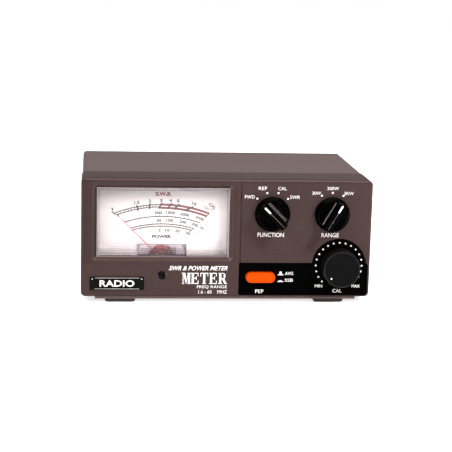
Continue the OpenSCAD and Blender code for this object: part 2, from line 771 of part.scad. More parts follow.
module cal_pot() {
    color("olivedrab") difference() {
        union() {
            rod_y(cal_x, cal_z, pot_r, face_back, pot_y1);
            rod_y(cal_x, cal_z, bush_r - 1, front_y - 2.6, face_back + eps);
            for (dx = [-5, 0, 5]) block(cal_x + dx - 0.6, cal_x + dx + 0.6,
                face_back + 5, face_back + 5.6, cal_z - pot_r - 4, cal_z - pot_r + 0.8);
        }
        rod_y(cal_x, cal_z, 7.2, face_back + 2, pot_y1 - 1.2);
        rod_y(cal_x, cal_z, 2 + run_gap, front_y - 4, face_back + 3);
    }
}

module cal_nut() { bush_nut(cal_x, cal_z, bush_r - 1); }

module cal_shaft() {
    color("lightgray") {
        rod_y(cal_x, cal_z, 2, front_y - 8.4, pot_y1 - 2.6);
        rod_y(cal_x, cal_z, 6.6, face_back + 4, face_back + 6);
    }
}

module cal_knob() {
    color([0.1, 0.09, 0.09]) difference() {
        union() {
            rod_y(cal_x, cal_z, cal_r - 0.5, front_y - cal_h, front_y - cal_h + 0.52, cal_r, 96);
            rod_y(cal_x, cal_z, cal_r, front_y - cal_h + 0.5, front_y - knob_gap, -1, 96);
        }
        rod_y(cal_x, cal_z, 6.4, front_y - 3, front_y);
        rod_y(cal_x, cal_z, 2.02, front_y - 8.6, front_y);
        rod_y(cal_x + dimple_at * sin(cal_rest), cal_z + dimple_at * cos(cal_rest), dimple_r,
            front_y - cal_h - 1, front_y - cal_h + 0.6);
    }
}

// The push switch: a square tube on the board, open in front
module mode_switch() {
    color("ivory") difference() {
        union() {
            block(button_x - 5, button_x + 5, front_y + 5.4, front_y + 17, button_z - 4, button_z + 4);
            for (dx = mode_pin_x, dz = mode_pin_z) rod_y(button_x + dx, button_z + dz, 0.4,
                front_y + 17 - eps, pcb_y + pcb_t + pin_out, -1, 16);
        }
        block(button_x - 3.6, button_x + 3.6, front_y + 5, front_y + 15.8, button_z - 2.8, button_z + 2.8);
    }
}

module mode_spring() {
    color("silver") for (i = [0 : spring_turns - 1])
        translate([button_x, front_y + 13.1 + i * spring_pitch, button_z])
        rotate([90, 0, 0]) rotate_extrude($fn = 32) translate([1.8, 0]) circle(0.2, $fn = 16);
}

module mode_plunger() {
    color("white") {
        block(button_x - 3.3, button_x + 3.3, front_y + 6.6, front_y + 9.6, button_z - 2.5, button_z + 2.5);
        rod_y(button_x, button_z, 1.2, front_y + 9.6 - eps, front_y + 12.4);
        block(button_x - 1.6, button_x + 1.6, front_y + 1.6, front_y + 6.6 + eps,
            button_z - 1.2, button_z + 1.2);
    }
}

// The outline of the push button, grown by a margin
module button_outline(grow) {
    round_rect(button_x - button_w / 2 - grow, button_x + button_w / 2 + grow,
        button_z - button_h / 2 - grow, button_z + button_h / 2 + grow, button_h / 2 + grow);
}

module mode_button() {
    color([0.96, 0.37, 0.04]) difference() {
        union() {
            slab(front_y - button_out + 0.4, front_y + 1.8) button_outline(0);
            slab(front_y - button_out, front_y - button_out + 0.4 + eps) button_outline(-0.5);
        }
        slab(front_y - 1.4, front_y + 2) button_outline(-1.2);
    }
    color([0.96, 0.37, 0.04]) difference() {
        block(button_x - 2.6, button_x + 2.6, front_y - 1.42, front_y + 1.8, button_z - 2, button_z + 2);
        block(button_x - 1.62, button_x + 1.62, front_y + 1.55, front_y + 3,
            button_z - 1.22, button_z + 1.22);
    }
}

module control_board() {
    color("darkgreen") slab(pcb_y, pcb_y + pcb_t) difference() {
        round_rect(pcb_x0, pcb_x1, pcb_z0, pcb_z1, 1);
        for (p = pcb_holes) translate(p) circle(1.6);
        for (x = [function_x, range_x], a = pin_angles)
            translate([x + pin_ring * sin(a), knob_z + pin_ring * cos(a)]) circle(0.55, $fn = 16);
        for (dx = mode_pin_x, dz = mode_pin_z)
            translate([button_x + dx, button_z + dz]) circle(0.45, $fn = 16);
    }
}

module board_screws() {
    color("silver") for (p = pcb_holes)
        screw_y_back(p[0], p[1], pcb_y - 5, pcb_y + pcb_t + 1.4, 2.4, 1.4, small_screw_r);
}

// ---- Coupler at the rear ----

module coupler_box() {
    color("lightgray") difference() {
        union() {
            difference() {
                block(-box_x, box_x, box_y0, panel_in, box_z0, box_z1);
                block(-box_x + box_t, box_x - box_t, box_y0 - 1, panel_in + 1,
                    box_z0 + box_t, box_z1 - box_t);
            }
            for (p = lid_screws) rod_y(p[0], p[1], 2.4, box_y0, box_y0 + 8);
        }
        for (p = lid_screws) rod_y(p[0], p[1], small_screw_r + 0.05, box_y0 - 1, box_y0 + 7);
    }
}

module coupler_lid() {
    color("silver") slab(box_y0 - box_t, box_y0) difference() {
        translate([-box_x, box_z0]) square([2 * box_x, box_z1 - box_z0]);
        for (p = lid_screws) translate(p) circle(1.5);
        translate([24, 26]) circle(2.2);
    }
}

module coupler_screws() {
    color("dimgray") for (p = lid_screws)
        screw_y(p[0], p[1], box_y0 - box_t - 1.4, box_y0 + 5, 2.4, 1.4, small_screw_r);
}

// A coaxial socket: a square flange with four holes and a threaded barrel
module coax_socket(x) {
    color("silver") difference() {
        union() {
            slab(rear_y, rear_y + flange_t) round_rect(x - flange_w / 2, x + flange_w / 2,
                socket_z - flange_w / 2, socket_z + flange_w / 2, 1.2);
            rod_y(x, socket_z, socket_r, rear_y + flange_t - eps, socket_end, -1, 64);
            rod_y(x, socket_z, socket_r, rear_y - 4, rear_y + eps, -1, 64);
        }
        rod_y(x, socket_z, insulator_r + 0.02, rear_y - 5, socket_end + 1);
        for (dx = [-1, 1], dz = [-1, 1])
            rod_y(x + dx * flange_pitch / 2, socket_z + dz * flange_pitch / 2, 1.6, rear_y - 1, rear_y + 3);
    }
}

module tx_socket() { coax_socket(-socket_x); }
module antenna_socket() { coax_socket(socket_x); }

module socket_insulators() {
    color("whitesmoke") for (s = [-1, 1]) difference() {
        rod_y(s * socket_x, socket_z, insulator_r, rear_y - 4, socket_end - 4);
        rod_y(s * socket_x, socket_z, contact_out_r + 0.02, rear_y - 5, socket_end);
    }
}

module centre_contacts() {
    color("gold") for (s = [-1, 1]) difference() {
        union() {
            rod_y(s * socket_x, socket_z, contact_out_r, rear_y - 4, socket_end - 3.5);
            rod_y(s * socket_x, socket_z, 1.6, line_y + 1.25, rear_y - 4 + eps);
        }
        rod_y(s * socket_x, socket_z, contact_r, socket_end - 18, socket_end);
    }
}

module socket_screws() {
    color("silver") for (s = [-1, 1], dx = [-1, 1], dz = [-1, 1]) {
        x = s * socket_x + dx * flange_pitch / 2;
        z = socket_z + dz * flange_pitch / 2;
        screw_y_back(x, z, panel_in - 4, rear_y + flange_t + 1.4, 2.6, 1.4, 1.45);
        nut_y(x, z, 5.5, panel_in - 2.3, panel_in - 0.02, 1.47);
    }
}

module line_rod() {
    color("gold") rod_x(line_y, socket_z, 1.2, -socket_x - 2, socket_x + 2);
}

// A ring core round the line, wound with separate turns of wire
module sense_coil() {
    translate([0, line_y, socket_z]) rotate([0, 90, 0]) {
        color("dimgray") difference() {
            cylinder(h = toroid_t, r = toroid_r, center = true);
            cylinder(h = toroid_t + 2, r = toroid_in, center = true);
        }
        color("chocolate") for (i = [0 : toroid_turns - 1]) rotate([0, 0, i * 20 + 10]) difference() {
            translate([toroid_in - 0.5, -0.35, -toroid_t / 2 - 0.6])
                cube([toroid_r - toroid_in + 1, 0.7, toroid_t + 1.2]);
            translate([toroid_in - 0.02, -1, -toroid_t / 2 - 0.02])
                cube([toroid_r - toroid_in + 0.04, 2, toroid_t + 0.04]);
        }
    }
}

module sensor_board() {
    color("seagreen") slab(board_y, board_y + 1.6)
        round_rect(-38, 38, box_z0 + 3.5, box_z1 - 3.5, 0.8);
}

// Diodes, trimmers and capacitors on the sensor board
module sensor_parts() {
    color("orange") for (s = [-1, 1]) {
        rod_x(board_y + 2.7, 50, 1, s > 0 ? 14 : -18, s > 0 ? 18 : -14);
        rod_x(board_y + 2.7, 46, 1, s > 0 ? 14 : -18, s > 0 ? 18 : -14);
        rod_y(s * 12, 23, 3.2, board_y + 1.6, board_y + 5);
        block(s * 32 - 3, s * 32 + 3, board_y + 1.6, board_y + 4.2, 23, 29);
    }
}

module dc_jack() {
    color([0.12, 0.12, 0.12]) difference() {
        union() {
            rod_y(jack_x, jack_z, jack_out_r, rear_y - 4, rear_y + 3.2);
            rod_y(jack_x, jack_z, 5, rear_y - 14, rear_y - chassis_t);
        }
        rod_y(jack_x, jack_z, jack_r, rear_y - 11, rear_y + 4);
    }
}

module jack_nut() {
    color("silver") nut_y(jack_x, jack_z, 10.4, rear_y + 0.02, rear_y + 2, jack_out_r + 0.02);
}

// ---- Wiring ----

module sensor_cable() {
    color([0.25, 0.25, 0.27]) wire([[24, board_y - 0.2, 26], [24, 8, 26], [28, -4, 22],
        [34, -18, 20], [36, -26, 20], [36, pcb_y + pcb_t + 0.1, 20]], 1.6);
}

module meter_leads() {
    color("crimson") wire([[pivot_x - terminal_dx, tub_back + 3.1, pivot_z + 4.9],
        [pivot_x - terminal_dx, tub_back + 8, pivot_z + 8], [-20, -12, 40], [6, -12, 40],
        [13, -22, 38], [13, pcb_y + pcb_t + 0.1, 38]], 0.6);
    color("black") wire([[pivot_x + terminal_dx, tub_back + 3.1, pivot_z + 4.9],
        [pivot_x + terminal_dx, tub_back + 8, pivot_z + 8], [0, -15, 34], [12, -22, 34],
        [14, pcb_y + pcb_t + 0.1, 33]], 0.6);
}

module lamp_leads() {
    color("gold") wire([[jack_x, rear_y - 14.1, jack_z], [jack_x, 26, 22], [58, 10, 40],
        [40, -10, 58], [4, -16, 59], [-8, -17, 56], [-8, tub_back + 1.2, lamp_z]], 0.6);
    color("gold") wire([[-10.5, tub_back + 3, lamp_z + 5], [-30, -17, 57], [-56, -17, 57],
        [-62, -18, 54], [-62, tub_back + 1.2, lamp_z]], 0.6);
}

chassis();
rear_panel();
top_cover();
cover_screws();
front_bezel();
bezel_screws();
control_overlay();
badge_plate();
feet();
foot_screws();
meter_lens();
meter_case();
meter_screws();
dial_plate();
meter_yoke();
core_magnet();
movement_bridges();
jewel_screws();
moving_coil();
needle();
hairsprings();
zero_arm();
zero_screw();
dial_lamps();
lamp_holders();
meter_terminals();
function_switch();
function_nut();
function_shaft();
function_knob();
range_switch();
range_nut();
range_shaft();
range_knob();
cal_pot();
cal_nut();
cal_shaft();
cal_knob();
mode_switch();
mode_spring();
mode_plunger();
mode_button();
control_board();
board_screws();
coupler_box();
coupler_lid();
coupler_screws();
tx_socket();
antenna_socket();
socket_insulators();
centre_contacts();
socket_screws();
line_rod();
sense_coil();
sensor_board();
sensor_parts();
dc_jack();
jack_nut();
sensor_cable();
meter_leads();
lamp_leads();
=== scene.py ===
"""Looks of a bench SWR and power meter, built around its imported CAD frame.

On the front face, x is counted from the middle of the case and z from the lower edge of the
bezel.
"""
import json
import math

import bmesh
import bpy
from mathutils import Matrix, Vector


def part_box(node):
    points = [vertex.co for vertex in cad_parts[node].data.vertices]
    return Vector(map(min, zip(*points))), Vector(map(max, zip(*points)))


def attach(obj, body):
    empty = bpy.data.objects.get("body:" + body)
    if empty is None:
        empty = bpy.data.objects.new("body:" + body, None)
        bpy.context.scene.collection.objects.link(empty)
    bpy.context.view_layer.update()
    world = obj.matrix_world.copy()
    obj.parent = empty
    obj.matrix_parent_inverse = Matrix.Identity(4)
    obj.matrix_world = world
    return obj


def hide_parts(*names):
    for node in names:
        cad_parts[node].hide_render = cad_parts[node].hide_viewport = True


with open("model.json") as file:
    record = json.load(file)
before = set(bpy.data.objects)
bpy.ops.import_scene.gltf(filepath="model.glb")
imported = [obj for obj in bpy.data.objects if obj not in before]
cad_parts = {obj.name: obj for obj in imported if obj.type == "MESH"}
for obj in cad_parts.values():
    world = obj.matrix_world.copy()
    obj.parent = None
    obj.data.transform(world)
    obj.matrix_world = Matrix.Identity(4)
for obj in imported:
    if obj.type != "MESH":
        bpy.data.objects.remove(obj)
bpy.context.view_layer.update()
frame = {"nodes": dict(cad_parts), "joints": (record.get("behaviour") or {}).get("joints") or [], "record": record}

MM = 0.001
NODES = frame["nodes"]
JOINTS = {joint["name"]: joint for joint in frame["joints"]}
SLOT_OF = {row["node"]: row["material_slot"] for row in frame["record"]["subparts"]}


# ---- Places, read from the frame ----

def box_mm(node):
    """The lowest and highest corners of a CAD node, in millimetres."""
    low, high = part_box(node)
    return low / MM, high / MM


def joint_mm(name):
    """A point on a joint's axis, in millimetres."""
    return Vector(JOINTS[name]["pos_m"]) / MM


BEZEL_LOW, BEZEL_HIGH = box_mm("front_bezel")
FRONT = BEZEL_LOW.y
BASE = BEZEL_LOW.z
DIAL_LOW, DIAL_HIGH = box_mm("dial_plate")
WINDOW_LEFT, WINDOW_RIGHT = DIAL_LOW.x + 1.8, DIAL_HIGH.x - 1.8
WINDOW_FOOT, WINDOW_TOP = BASE + 21.25, DIAL_HIGH.z - 1.05
PIVOT = joint_mm("needle_swing")
FUNCTION = joint_mm("function_turn")
RANGE = joint_mm("range_turn")
CAL = joint_mm("cal_turn")
REAR = box_mm("chassis")[1].y


# ---- Camera, lights and floor ----

def make_camera():
    """A long lens, a little left of the middle and above, looking slightly down."""
    place = Vector((-73.6, FRONT - 731.3, BASE + 184.75)) * MM
    right = Vector((0.99527, -0.09398, 0.02469))
    down = Vector((0.00577, -0.19650, -0.98049))
    forward = Vector((0.09700, 0.97599, -0.19502))
    data = bpy.data.cameras.new("camera")
    data.lens = 112.517
    data.sensor_width = 36
    data.clip_start = 0.05
    data.clip_end = 100
    camera = bpy.data.objects.new("camera", data)
    axes = Matrix((right, -down, -forward)).transposed()
    camera.matrix_world = Matrix.Translation(place) @ axes.to_4x4()
    bpy.context.scene.collection.objects.link(camera)
    bpy.context.scene.camera = camera


def make_light(name, place, aim, width, height, power):
    """A soft white rectangular light at a place, facing a point, in metres and watts."""
    data = bpy.data.lights.new(name, "AREA")
    data.shape = "RECTANGLE"
    data.size = width
    data.size_y = height
    data.energy = power
    light = bpy.data.objects.new(name, data)
    light.location = place
    light.rotation_mode = "QUATERNION"
    light.rotation_quaternion = (Vector(aim) - Vector(place)).to_track_quat("-Z", "Y")
    bpy.context.scene.collection.objects.link(light)


def make_world():
    """An even grey surround, a little brighter near the horizon."""
    world = bpy.data.worlds.new("studio")
    bpy.context.scene.world = world
    world.use_nodes = True
    nodes, links = world.node_tree.nodes, world.node_tree.links
    nodes.clear()
    output = nodes.new("ShaderNodeOutputWorld")
    background = nodes.new("ShaderNodeBackground")
    ramp = nodes.new("ShaderNodeValToRGB")
    split = nodes.new("ShaderNodeSeparateXYZ")
    coords = nodes.new("ShaderNodeTexCoord")
    links.new(coords.outputs["Generated"], split.inputs[0])
    links.new(split.outputs["Z"], ramp.inputs["Fac"])
    ramp.color_ramp.elements[0].position = 0.02
    ramp.color_ramp.elements[0].color = (0.9, 0.9, 0.9, 1)
    ramp.color_ramp.elements[1].position = 0.25
    ramp.color_ramp.elements[1].color = (0.35, 0.35, 0.35, 1)
    links.new(ramp.outputs["Color"], background.inputs["Color"])
    background.inputs["Strength"].default_value = 1.0
    links.new(background.outputs[0], output.inputs["Surface"])


def make_floor():
    """A pale sheet that glows a little, as a light table does."""
    bpy.ops.mesh.primitive_plane_add(size=40, location=(0, 0, 0))
    floor = bpy.context.object
    floor.name = "floor"
    nodes, links, shader = new_material("floor_paper")
    shader.inputs["Roughness"].default_value = 0.9
    shader.inputs["Specular IOR Level"].default_value = 0.0
    spread = noise_node(nodes, links, 6, 2)
    colours = ramp_node(nodes, links, spread, [(0.3, (0.8, 0.8, 0.8)), (0.7, (0.83, 0.83, 0.83))])
    links.new(colours, shader.inputs["Base Color"])
    links.new(colours, shader.inputs["Emission Color"])
    shader.inputs["Emission Strength"].default_value = 0.86
    floor.data.materials.append(MATERIALS["floor_paper"])


def make_stage():
    """The surround, the camera, three lights and the floor."""
    make_world()
    make_camera()
    bpy.context.scene.view_settings.view_transform = "Standard"
    middle = (0, 0, 0.03)
    make_light("top_softbox", (-0.1, 0.15, 1.3), middle, 1.6, 1.4, 26)
    make_light("key_softbox", (0.3, -0.38, 0.42), (0.04, -0.05, 0.04), 0.1, 0.1, 3.4)
    make_light("fill_softbox", (-0.5, -0.6, 0.62), middle, 0.3, 0.12, 1.6)
    make_floor()


# ---- Materials ----

MATERIALS = {}


def new_material(name):
    """Adds an empty Principled material to MATERIALS, and gives its nodes, links and shader."""
    material = bpy.data.materials.new(name)
    material.use_nodes = True
    MATERIALS[name] = material
    nodes, links = material.node_tree.nodes, material.node_tree.links
    return nodes, links, nodes["Principled BSDF"]


def coords_node(nodes):
    """The object-space coordinates, from one node that a material's other nodes share."""
    found = nodes.get("object_coords")
    if found is None:
        found = nodes.new("ShaderNodeTexCoord")
        found.name = "object_coords"
    return found.outputs["Object"]


def noise_node(nodes, links, scale, detail=3.0, rough=0.55, stretch=None):
    """The value of a noise in object space; scale is in cells per metre."""
    noise = nodes.new("ShaderNodeTexNoise")
    noise.inputs["Scale"].default_value = scale
    noise.inputs["Detail"].default_value = detail
    noise.inputs["Roughness"].default_value = rough
    source = coords_node(nodes)
    if stretch:
        mapping = nodes.new("ShaderNodeMapping")
        mapping.inputs["Scale"].default_value = stretch
        links.new(source, mapping.inputs["Vector"])
        source = mapping.outputs["Vector"]
    links.new(source, noise.inputs["Vector"])
    return noise.outputs["Fac"]


def ramp_node(nodes, links, value, stops):
    """A colour ramp over a value, with stops of (position, colour)."""
    ramp = nodes.new("ShaderNodeValToRGB")
    elements = ramp.color_ramp.elements
    while len(elements) < len(stops):
        elements.new(0.5)
    for element, (position, colour) in zip(elements, stops):
        element.position = position
        element.color = (*colour, 1)
    links.new(value, ramp.inputs["Fac"])
    return ramp.outputs["Color"]


def range_node(nodes, links, value, low, high):
    """A value from 0 to 1, mapped to a range."""
    mapped = nodes.new("ShaderNodeMapRange")
    mapped.inputs["To Min"].default_value = low
    mapped.inputs["To Max"].default_value = high
    links.new(value, mapped.inputs["Value"])
    return mapped.outputs["Result"]


def bump_node(nodes, links, shader, height, strength, distance):
    """A bump on a shader, with its depth in millimetres."""
    bump = nodes.new("ShaderNodeBump")
    bump.inputs["Strength"].default_value = strength
    bump.inputs["Distance"].default_value = distance * MM
    links.new(height, bump.inputs["Height"])
    links.new(bump.outputs["Normal"], shader.inputs["Normal"])


def multiplied_node(nodes, links, first, second):
    """Two colours multiplied."""
    mix = nodes.new("ShaderNodeMix")
    mix.data_type = "RGBA"
    mix.blend_type = "MULTIPLY"
    mix.inputs["Factor"].default_value = 1
    links.new(first, mix.inputs["A"])
    links.new(second, mix.inputs["B"])
    return mix.outputs["Result"]


def math_node(nodes, links, operation, first, second):
    """Two values combined; the second may be a plain number."""
    work = nodes.new("ShaderNodeMath")
    work.operation = operation
    links.new(first, work.inputs[0])
    if isinstance(second, (int, float)):
        work.inputs[1].default_value = second
    else:
        links.new(second, work.inputs[1])
    return work.outputs[0]


def place_node(nodes, links, axis, start, end, mirrored=False):
    """How far a point lies from one place to another along an axis, from 0 to 1, with both places
    in millimetres. Mirrored, the negative side counts as the positive one."""
    split = nodes.new("ShaderNodeSeparateXYZ")
    links.new(coords_node(nodes), split.inputs[0])
    value = split.outputs[axis]
    if mirrored:
        value = math_node(nodes, links, "ABSOLUTE", value, 0)
    place = nodes.new("ShaderNodeMapRange")
    place.inputs["From Min"].default_value = start * MM
    place.inputs["From Max"].default_value = end * MM
    links.new(value, place.inputs["Value"])
    return place.outputs["Result"]


def shade(colour, factor):
    """A colour made lighter or darker."""
    return tuple(min(1, c * factor) for c in colour)


def painted(name, colour, rough=0.45, speck=1.0, grain=2600, bump=0.25, shine=0.5):
    """Fine-grained paint: small flecks lighter and darker than its colour, over a soft mottle."""
    nodes, links, shader = new_material(name)
    fine = noise_node(nodes, links, grain, 2, 0.7)
    soft = noise_node(nodes, links, 90, 3)
    flecks = ramp_node(nodes, links, fine, [
        (0.3, shade(colour, 1 - 0.32 * speck)), (0.47, colour), (0.53, shade(colour, 1.04)),
        (0.72, shade(colour, 1 + 0.38 * speck))])
    mottle = ramp_node(nodes, links, soft, [(0.3, (0.93, 0.93, 0.93)), (0.7, (1, 1, 1))])
    links.new(multiplied_node(nodes, links, flecks, mottle), shader.inputs["Base Color"])
    links.new(range_node(nodes, links, fine, rough - 0.08, rough + 0.1), shader.inputs["Roughness"])
    shader.inputs["Specular IOR Level"].default_value = shine
    bump_node(nodes, links, shader, fine, bump, 0.06)


def paint_rim_light_and_shade(name):
    """Paints light on the bezel's front rim and on the bevels round its window. Paints shade in the
    groove behind the rim, on the roof, and on the narrow strips of the face beside and above the window."""
    tree = MATERIALS[name].node_tree
    nodes, links, shader = tree.nodes, tree.links, tree.nodes["Principled BSDF"]
    base = shader.inputs["Base Color"].links[0].from_socket

    def where(mask, *places):
        """A mask, or None for everywhere, kept where a point is past each (axis, start, end)."""
        for place in places:
            part = place_node(nodes, links, *place)
            mask = math_node(nodes, links, "MULTIPLY", mask, part) if mask else part
        return mask

    def changed(mask, change):
        return math_node(nodes, links, "MULTIPLY", mask, change)

    before_groove = ("Y", FRONT + 1.15, FRONT + 1.0)
    top = where(None, ("Z", BEZEL_HIGH.z - 0.75, BEZEL_HIGH.z - 0.6), before_groove)
    side = where(None, ("X", BEZEL_HIGH.x - 1.0, BEZEL_HIGH.x - 0.7, True), before_groove)
    groove = where(None, ("Y", FRONT + 1.15, FRONT + 1.2), ("Y", FRONT + 2.9, FRONT + 2.8))
    roof = where(None, ("Y", FRONT + 2.9, FRONT + 3.1), ("Z", BEZEL_HIGH.z - 0.6, BEZEL_HIGH.z - 0.4))
    face = where(None, ("Y", FRONT + 0.1, FRONT), ("Z", BASE + 17, BASE + 18))
    bevel = where(None, ("Y", FRONT + 3.1, FRONT + 3.05), ("Y", FRONT + 0.3, FRONT + 1.7),
                  ("X", WINDOW_LEFT - 3, WINDOW_LEFT - 2.9), ("X", WINDOW_RIGHT + 3, WINDOW_RIGHT + 2.9),
                  ("Z", BASE + 18.4, BASE + 18.5), ("Z", BASE + 61.1, BASE + 61))
    # painted highlight along the top and the sides of the front rim
    rim = math_node(nodes, links, "MAXIMUM", changed(top, 0.55), changed(side, 0.35))
    factor = math_node(nodes, links, "ADD", rim, 1)
    # painted shade in the groove and on the roof; painted light on the window's bevels, most on the sill and the
    # right; painted shade on the face left of the window and above it
    for mask, change in (
            (groove, -0.75),
            (where(bevel, ("Z", WINDOW_FOOT + 0.05, WINDOW_FOOT - 0.05)), 1.3),
            (where(bevel, ("Z", WINDOW_TOP - 0.05, WINDOW_TOP + 0.05)), 0.4),
            (where(bevel, ("X", WINDOW_RIGHT, WINDOW_RIGHT + 0.1)), 1.3),
            (where(bevel, ("X", WINDOW_LEFT + 0.1, WINDOW_LEFT)), 0.35),
            (where(face, ("X", -71, -72)), -0.2),
            (where(face, ("Z", BASE + 61, BASE + 62)), -0.14),
            (roof, -0.2)):
        factor = math_node(nodes, links, "ADD", factor, changed(mask, change))
    scale = nodes.new("ShaderNodeVectorMath")
    scale.operation = "SCALE"
    links.new(base, scale.inputs[0])
    links.new(factor, scale.inputs["Scale"])
    links.new(scale.outputs[0], shader.inputs["Base Color"])


def plastic(name, colour, rough=0.35, grain=1500, bump=0.08, spread=0.12, shine=0.5):
    """Moulded plastic: an even colour with faint flow marks and a fine bump."""
    nodes, links, shader = new_material(name)
    flow = noise_node(nodes, links, 60, 2, 0.5, (1, 1, 2.5))
    fine = noise_node(nodes, links, grain, 2)
    links.new(ramp_node(nodes, links, flow, [
        (0.3, shade(colour, 1 - spread)), (0.7, shade(colour, 1 + spread))]), shader.inputs["Base Color"])
    links.new(range_node(nodes, links, fine, rough - 0.06, rough + 0.08), shader.inputs["Roughness"])
    shader.inputs["Specular IOR Level"].default_value = shine
    bump_node(nodes, links, shader, fine, bump, 0.03)


def metal(name, colour, rough=0.3, stretch=(1, 1, 1), scale=900, bump=0.06, glow=0.0):
    """Plated, turned or brushed metal, with its marks along the least stretched axis. The glow
    stands for the light that the dial lamps throw on it."""
    nodes, links, shader = new_material(name)
    marks = noise_node(nodes, links, scale, 3, 0.6, stretch)
    stain = noise_node(nodes, links, 120, 3)
    tint = ramp_node(nodes, links, stain, [
        (0.3, shade(colour, 0.88)), (0.7, shade(colour, 1.06))])
    links.new(tint, shader.inputs["Base Color"])
    if glow:
        links.new(tint, shader.inputs["Emission Color"])
        shader.inputs["Emission Strength"].default_value = glow
    links.new(range_node(nodes, links, marks, rough - 0.1, rough + 0.14), shader.inputs["Roughness"])
    shader.inputs["Metallic"].default_value = 1
    bump_node(nodes, links, shader, marks, bump, 0.02)


def ink(name, colour, rough=0.55, glow=0.0):
    """Printed ink, a little thin and uneven. A glow, where given, is painted light that brightens it
    beyond what the lamps give.
    """
    nodes, links, shader = new_material(name)
    uneven = noise_node(nodes, links, 1800, 2)
    tint = ramp_node(nodes, links, uneven, [(0.3, shade(colour, 0.88)), (0.7, colour)])
    links.new(tint, shader.inputs["Base Color"])
    shader.inputs["Roughness"].default_value = rough
    # painted light: a glow, though the ink is no lamp
    if glow:
        links.new(tint, shader.inputs["Emission Color"])
        shader.inputs["Emission Strength"].default_value = glow


def dial_with_painted_light(name):
    """A white dial with a painted glow, as if lit from inside, and painted shade along the window's
    edges: bright in the middle.
    """
    nodes, links, shader = new_material(name)
    rising = [(0.0, 0.98), (0.15, 1.0), (0.64, 1.0), (0.82, 0.68), (0.93, 0.36), (1.0, 0.2)]
    across = [(0.0, 0.6), (0.07, 0.7), (0.3, 0.86), (0.5, 0.95), (0.75, 0.95), (0.9, 0.86), (1.0, 0.7)]
    paper = noise_node(nodes, links, 2200, 2)
    tint = ramp_node(nodes, links, paper, [(0.3, (0.9, 0.79, 0.8)), (0.7, (0.94, 0.83, 0.83))])
    # painted shade, darker towards the top and the sides of the window
    for axis, low, high, stops in (("Z", BASE + 18, BASE + 59, rising),
                                   ("X", WINDOW_LEFT - 0.1, WINDOW_RIGHT + 0.1, across)):
        place = place_node(nodes, links, axis, low, high)
        painted_shade = ramp_node(nodes, links, place, [(position, (grey,) * 3) for position, grey in stops])
        tint = multiplied_node(nodes, links, tint, painted_shade)
    links.new(tint, shader.inputs["Base Color"])
    # painted glow, standing for the dial lamps' light
    links.new(tint, shader.inputs["Emission Color"])
    shader.inputs["Emission Strength"].default_value = 0.07
    shader.inputs["Specular IOR Level"].default_value = 0.1
    shader.inputs["Roughness"].default_value = 0.6


def clear(name, tint=(1, 1, 1)):
    """Thin clear plastic: mostly see-through, with a polished reflection stronger at a slant. It
    reflects alike from both sides of a sheet, so a sheet stays clear at any slant."""
    nodes, links, shader = new_material(name)
    output = nodes["Material Output"]
    through = nodes.new("ShaderNodeBsdfTransparent")
    through.inputs["Color"].default_value = (*tint, 1)
    slant = nodes.new("ShaderNodeLayerWeight")
    slant.inputs["Blend"].default_value = 0.15
    wear = noise_node(nodes, links, 700, 3)
    links.new(range_node(nodes, links, wear, 0.02, 0.1), shader.inputs["Roughness"])
    links.new(ramp_node(nodes, links, wear, [(0.3, (0.93, 0.94, 0.96)), (0.7, (1, 1, 1))]),
              shader.inputs["Base Color"])
    shader.inputs["Metallic"].default_value = 1
    mix = nodes.new("ShaderNodeMixShader")
    links.new(range_node(nodes, links, slant.outputs["Facing"], 0.03, 0.6), mix.inputs["Fac"])
    links.new(through.outputs[0], mix.inputs[1])
    links.new(shader.outputs[0], mix.inputs[2])
    links.new(mix.outputs[0], output.inputs["Surface"])


def board(name, colour):
    """A circuit board: lacquer over copper tracks and a glass weave."""
    nodes, links, shader = new_material(name)
    tracks = nodes.new("ShaderNodeTexBrick")
    tracks.inputs["Scale"].default_value = 160
    tracks.inputs["Color1"].default_value = (*shade(colour, 1.0), 1)
    tracks.inputs["Color2"].default_value = (*shade(colour, 1.5), 1)
    tracks.inputs["Mortar"].default_value = (*shade(colour, 0.55), 1)
    links.new(coords_node(nodes), tracks.inputs["Vector"])
    links.new(tracks.outputs["Color"], shader.inputs["Base Color"])
    weave = noise_node(nodes, links, 1500, 2)
    links.new(range_node(nodes, links, weave, 0.25, 0.45), shader.inputs["Roughness"])
    bump_node(nodes, links, shader, weave, 0.1, 0.04)


PAINT = (0.074, 0.043, 0.0405)
WHITE = (0.86, 0.82, 0.81)


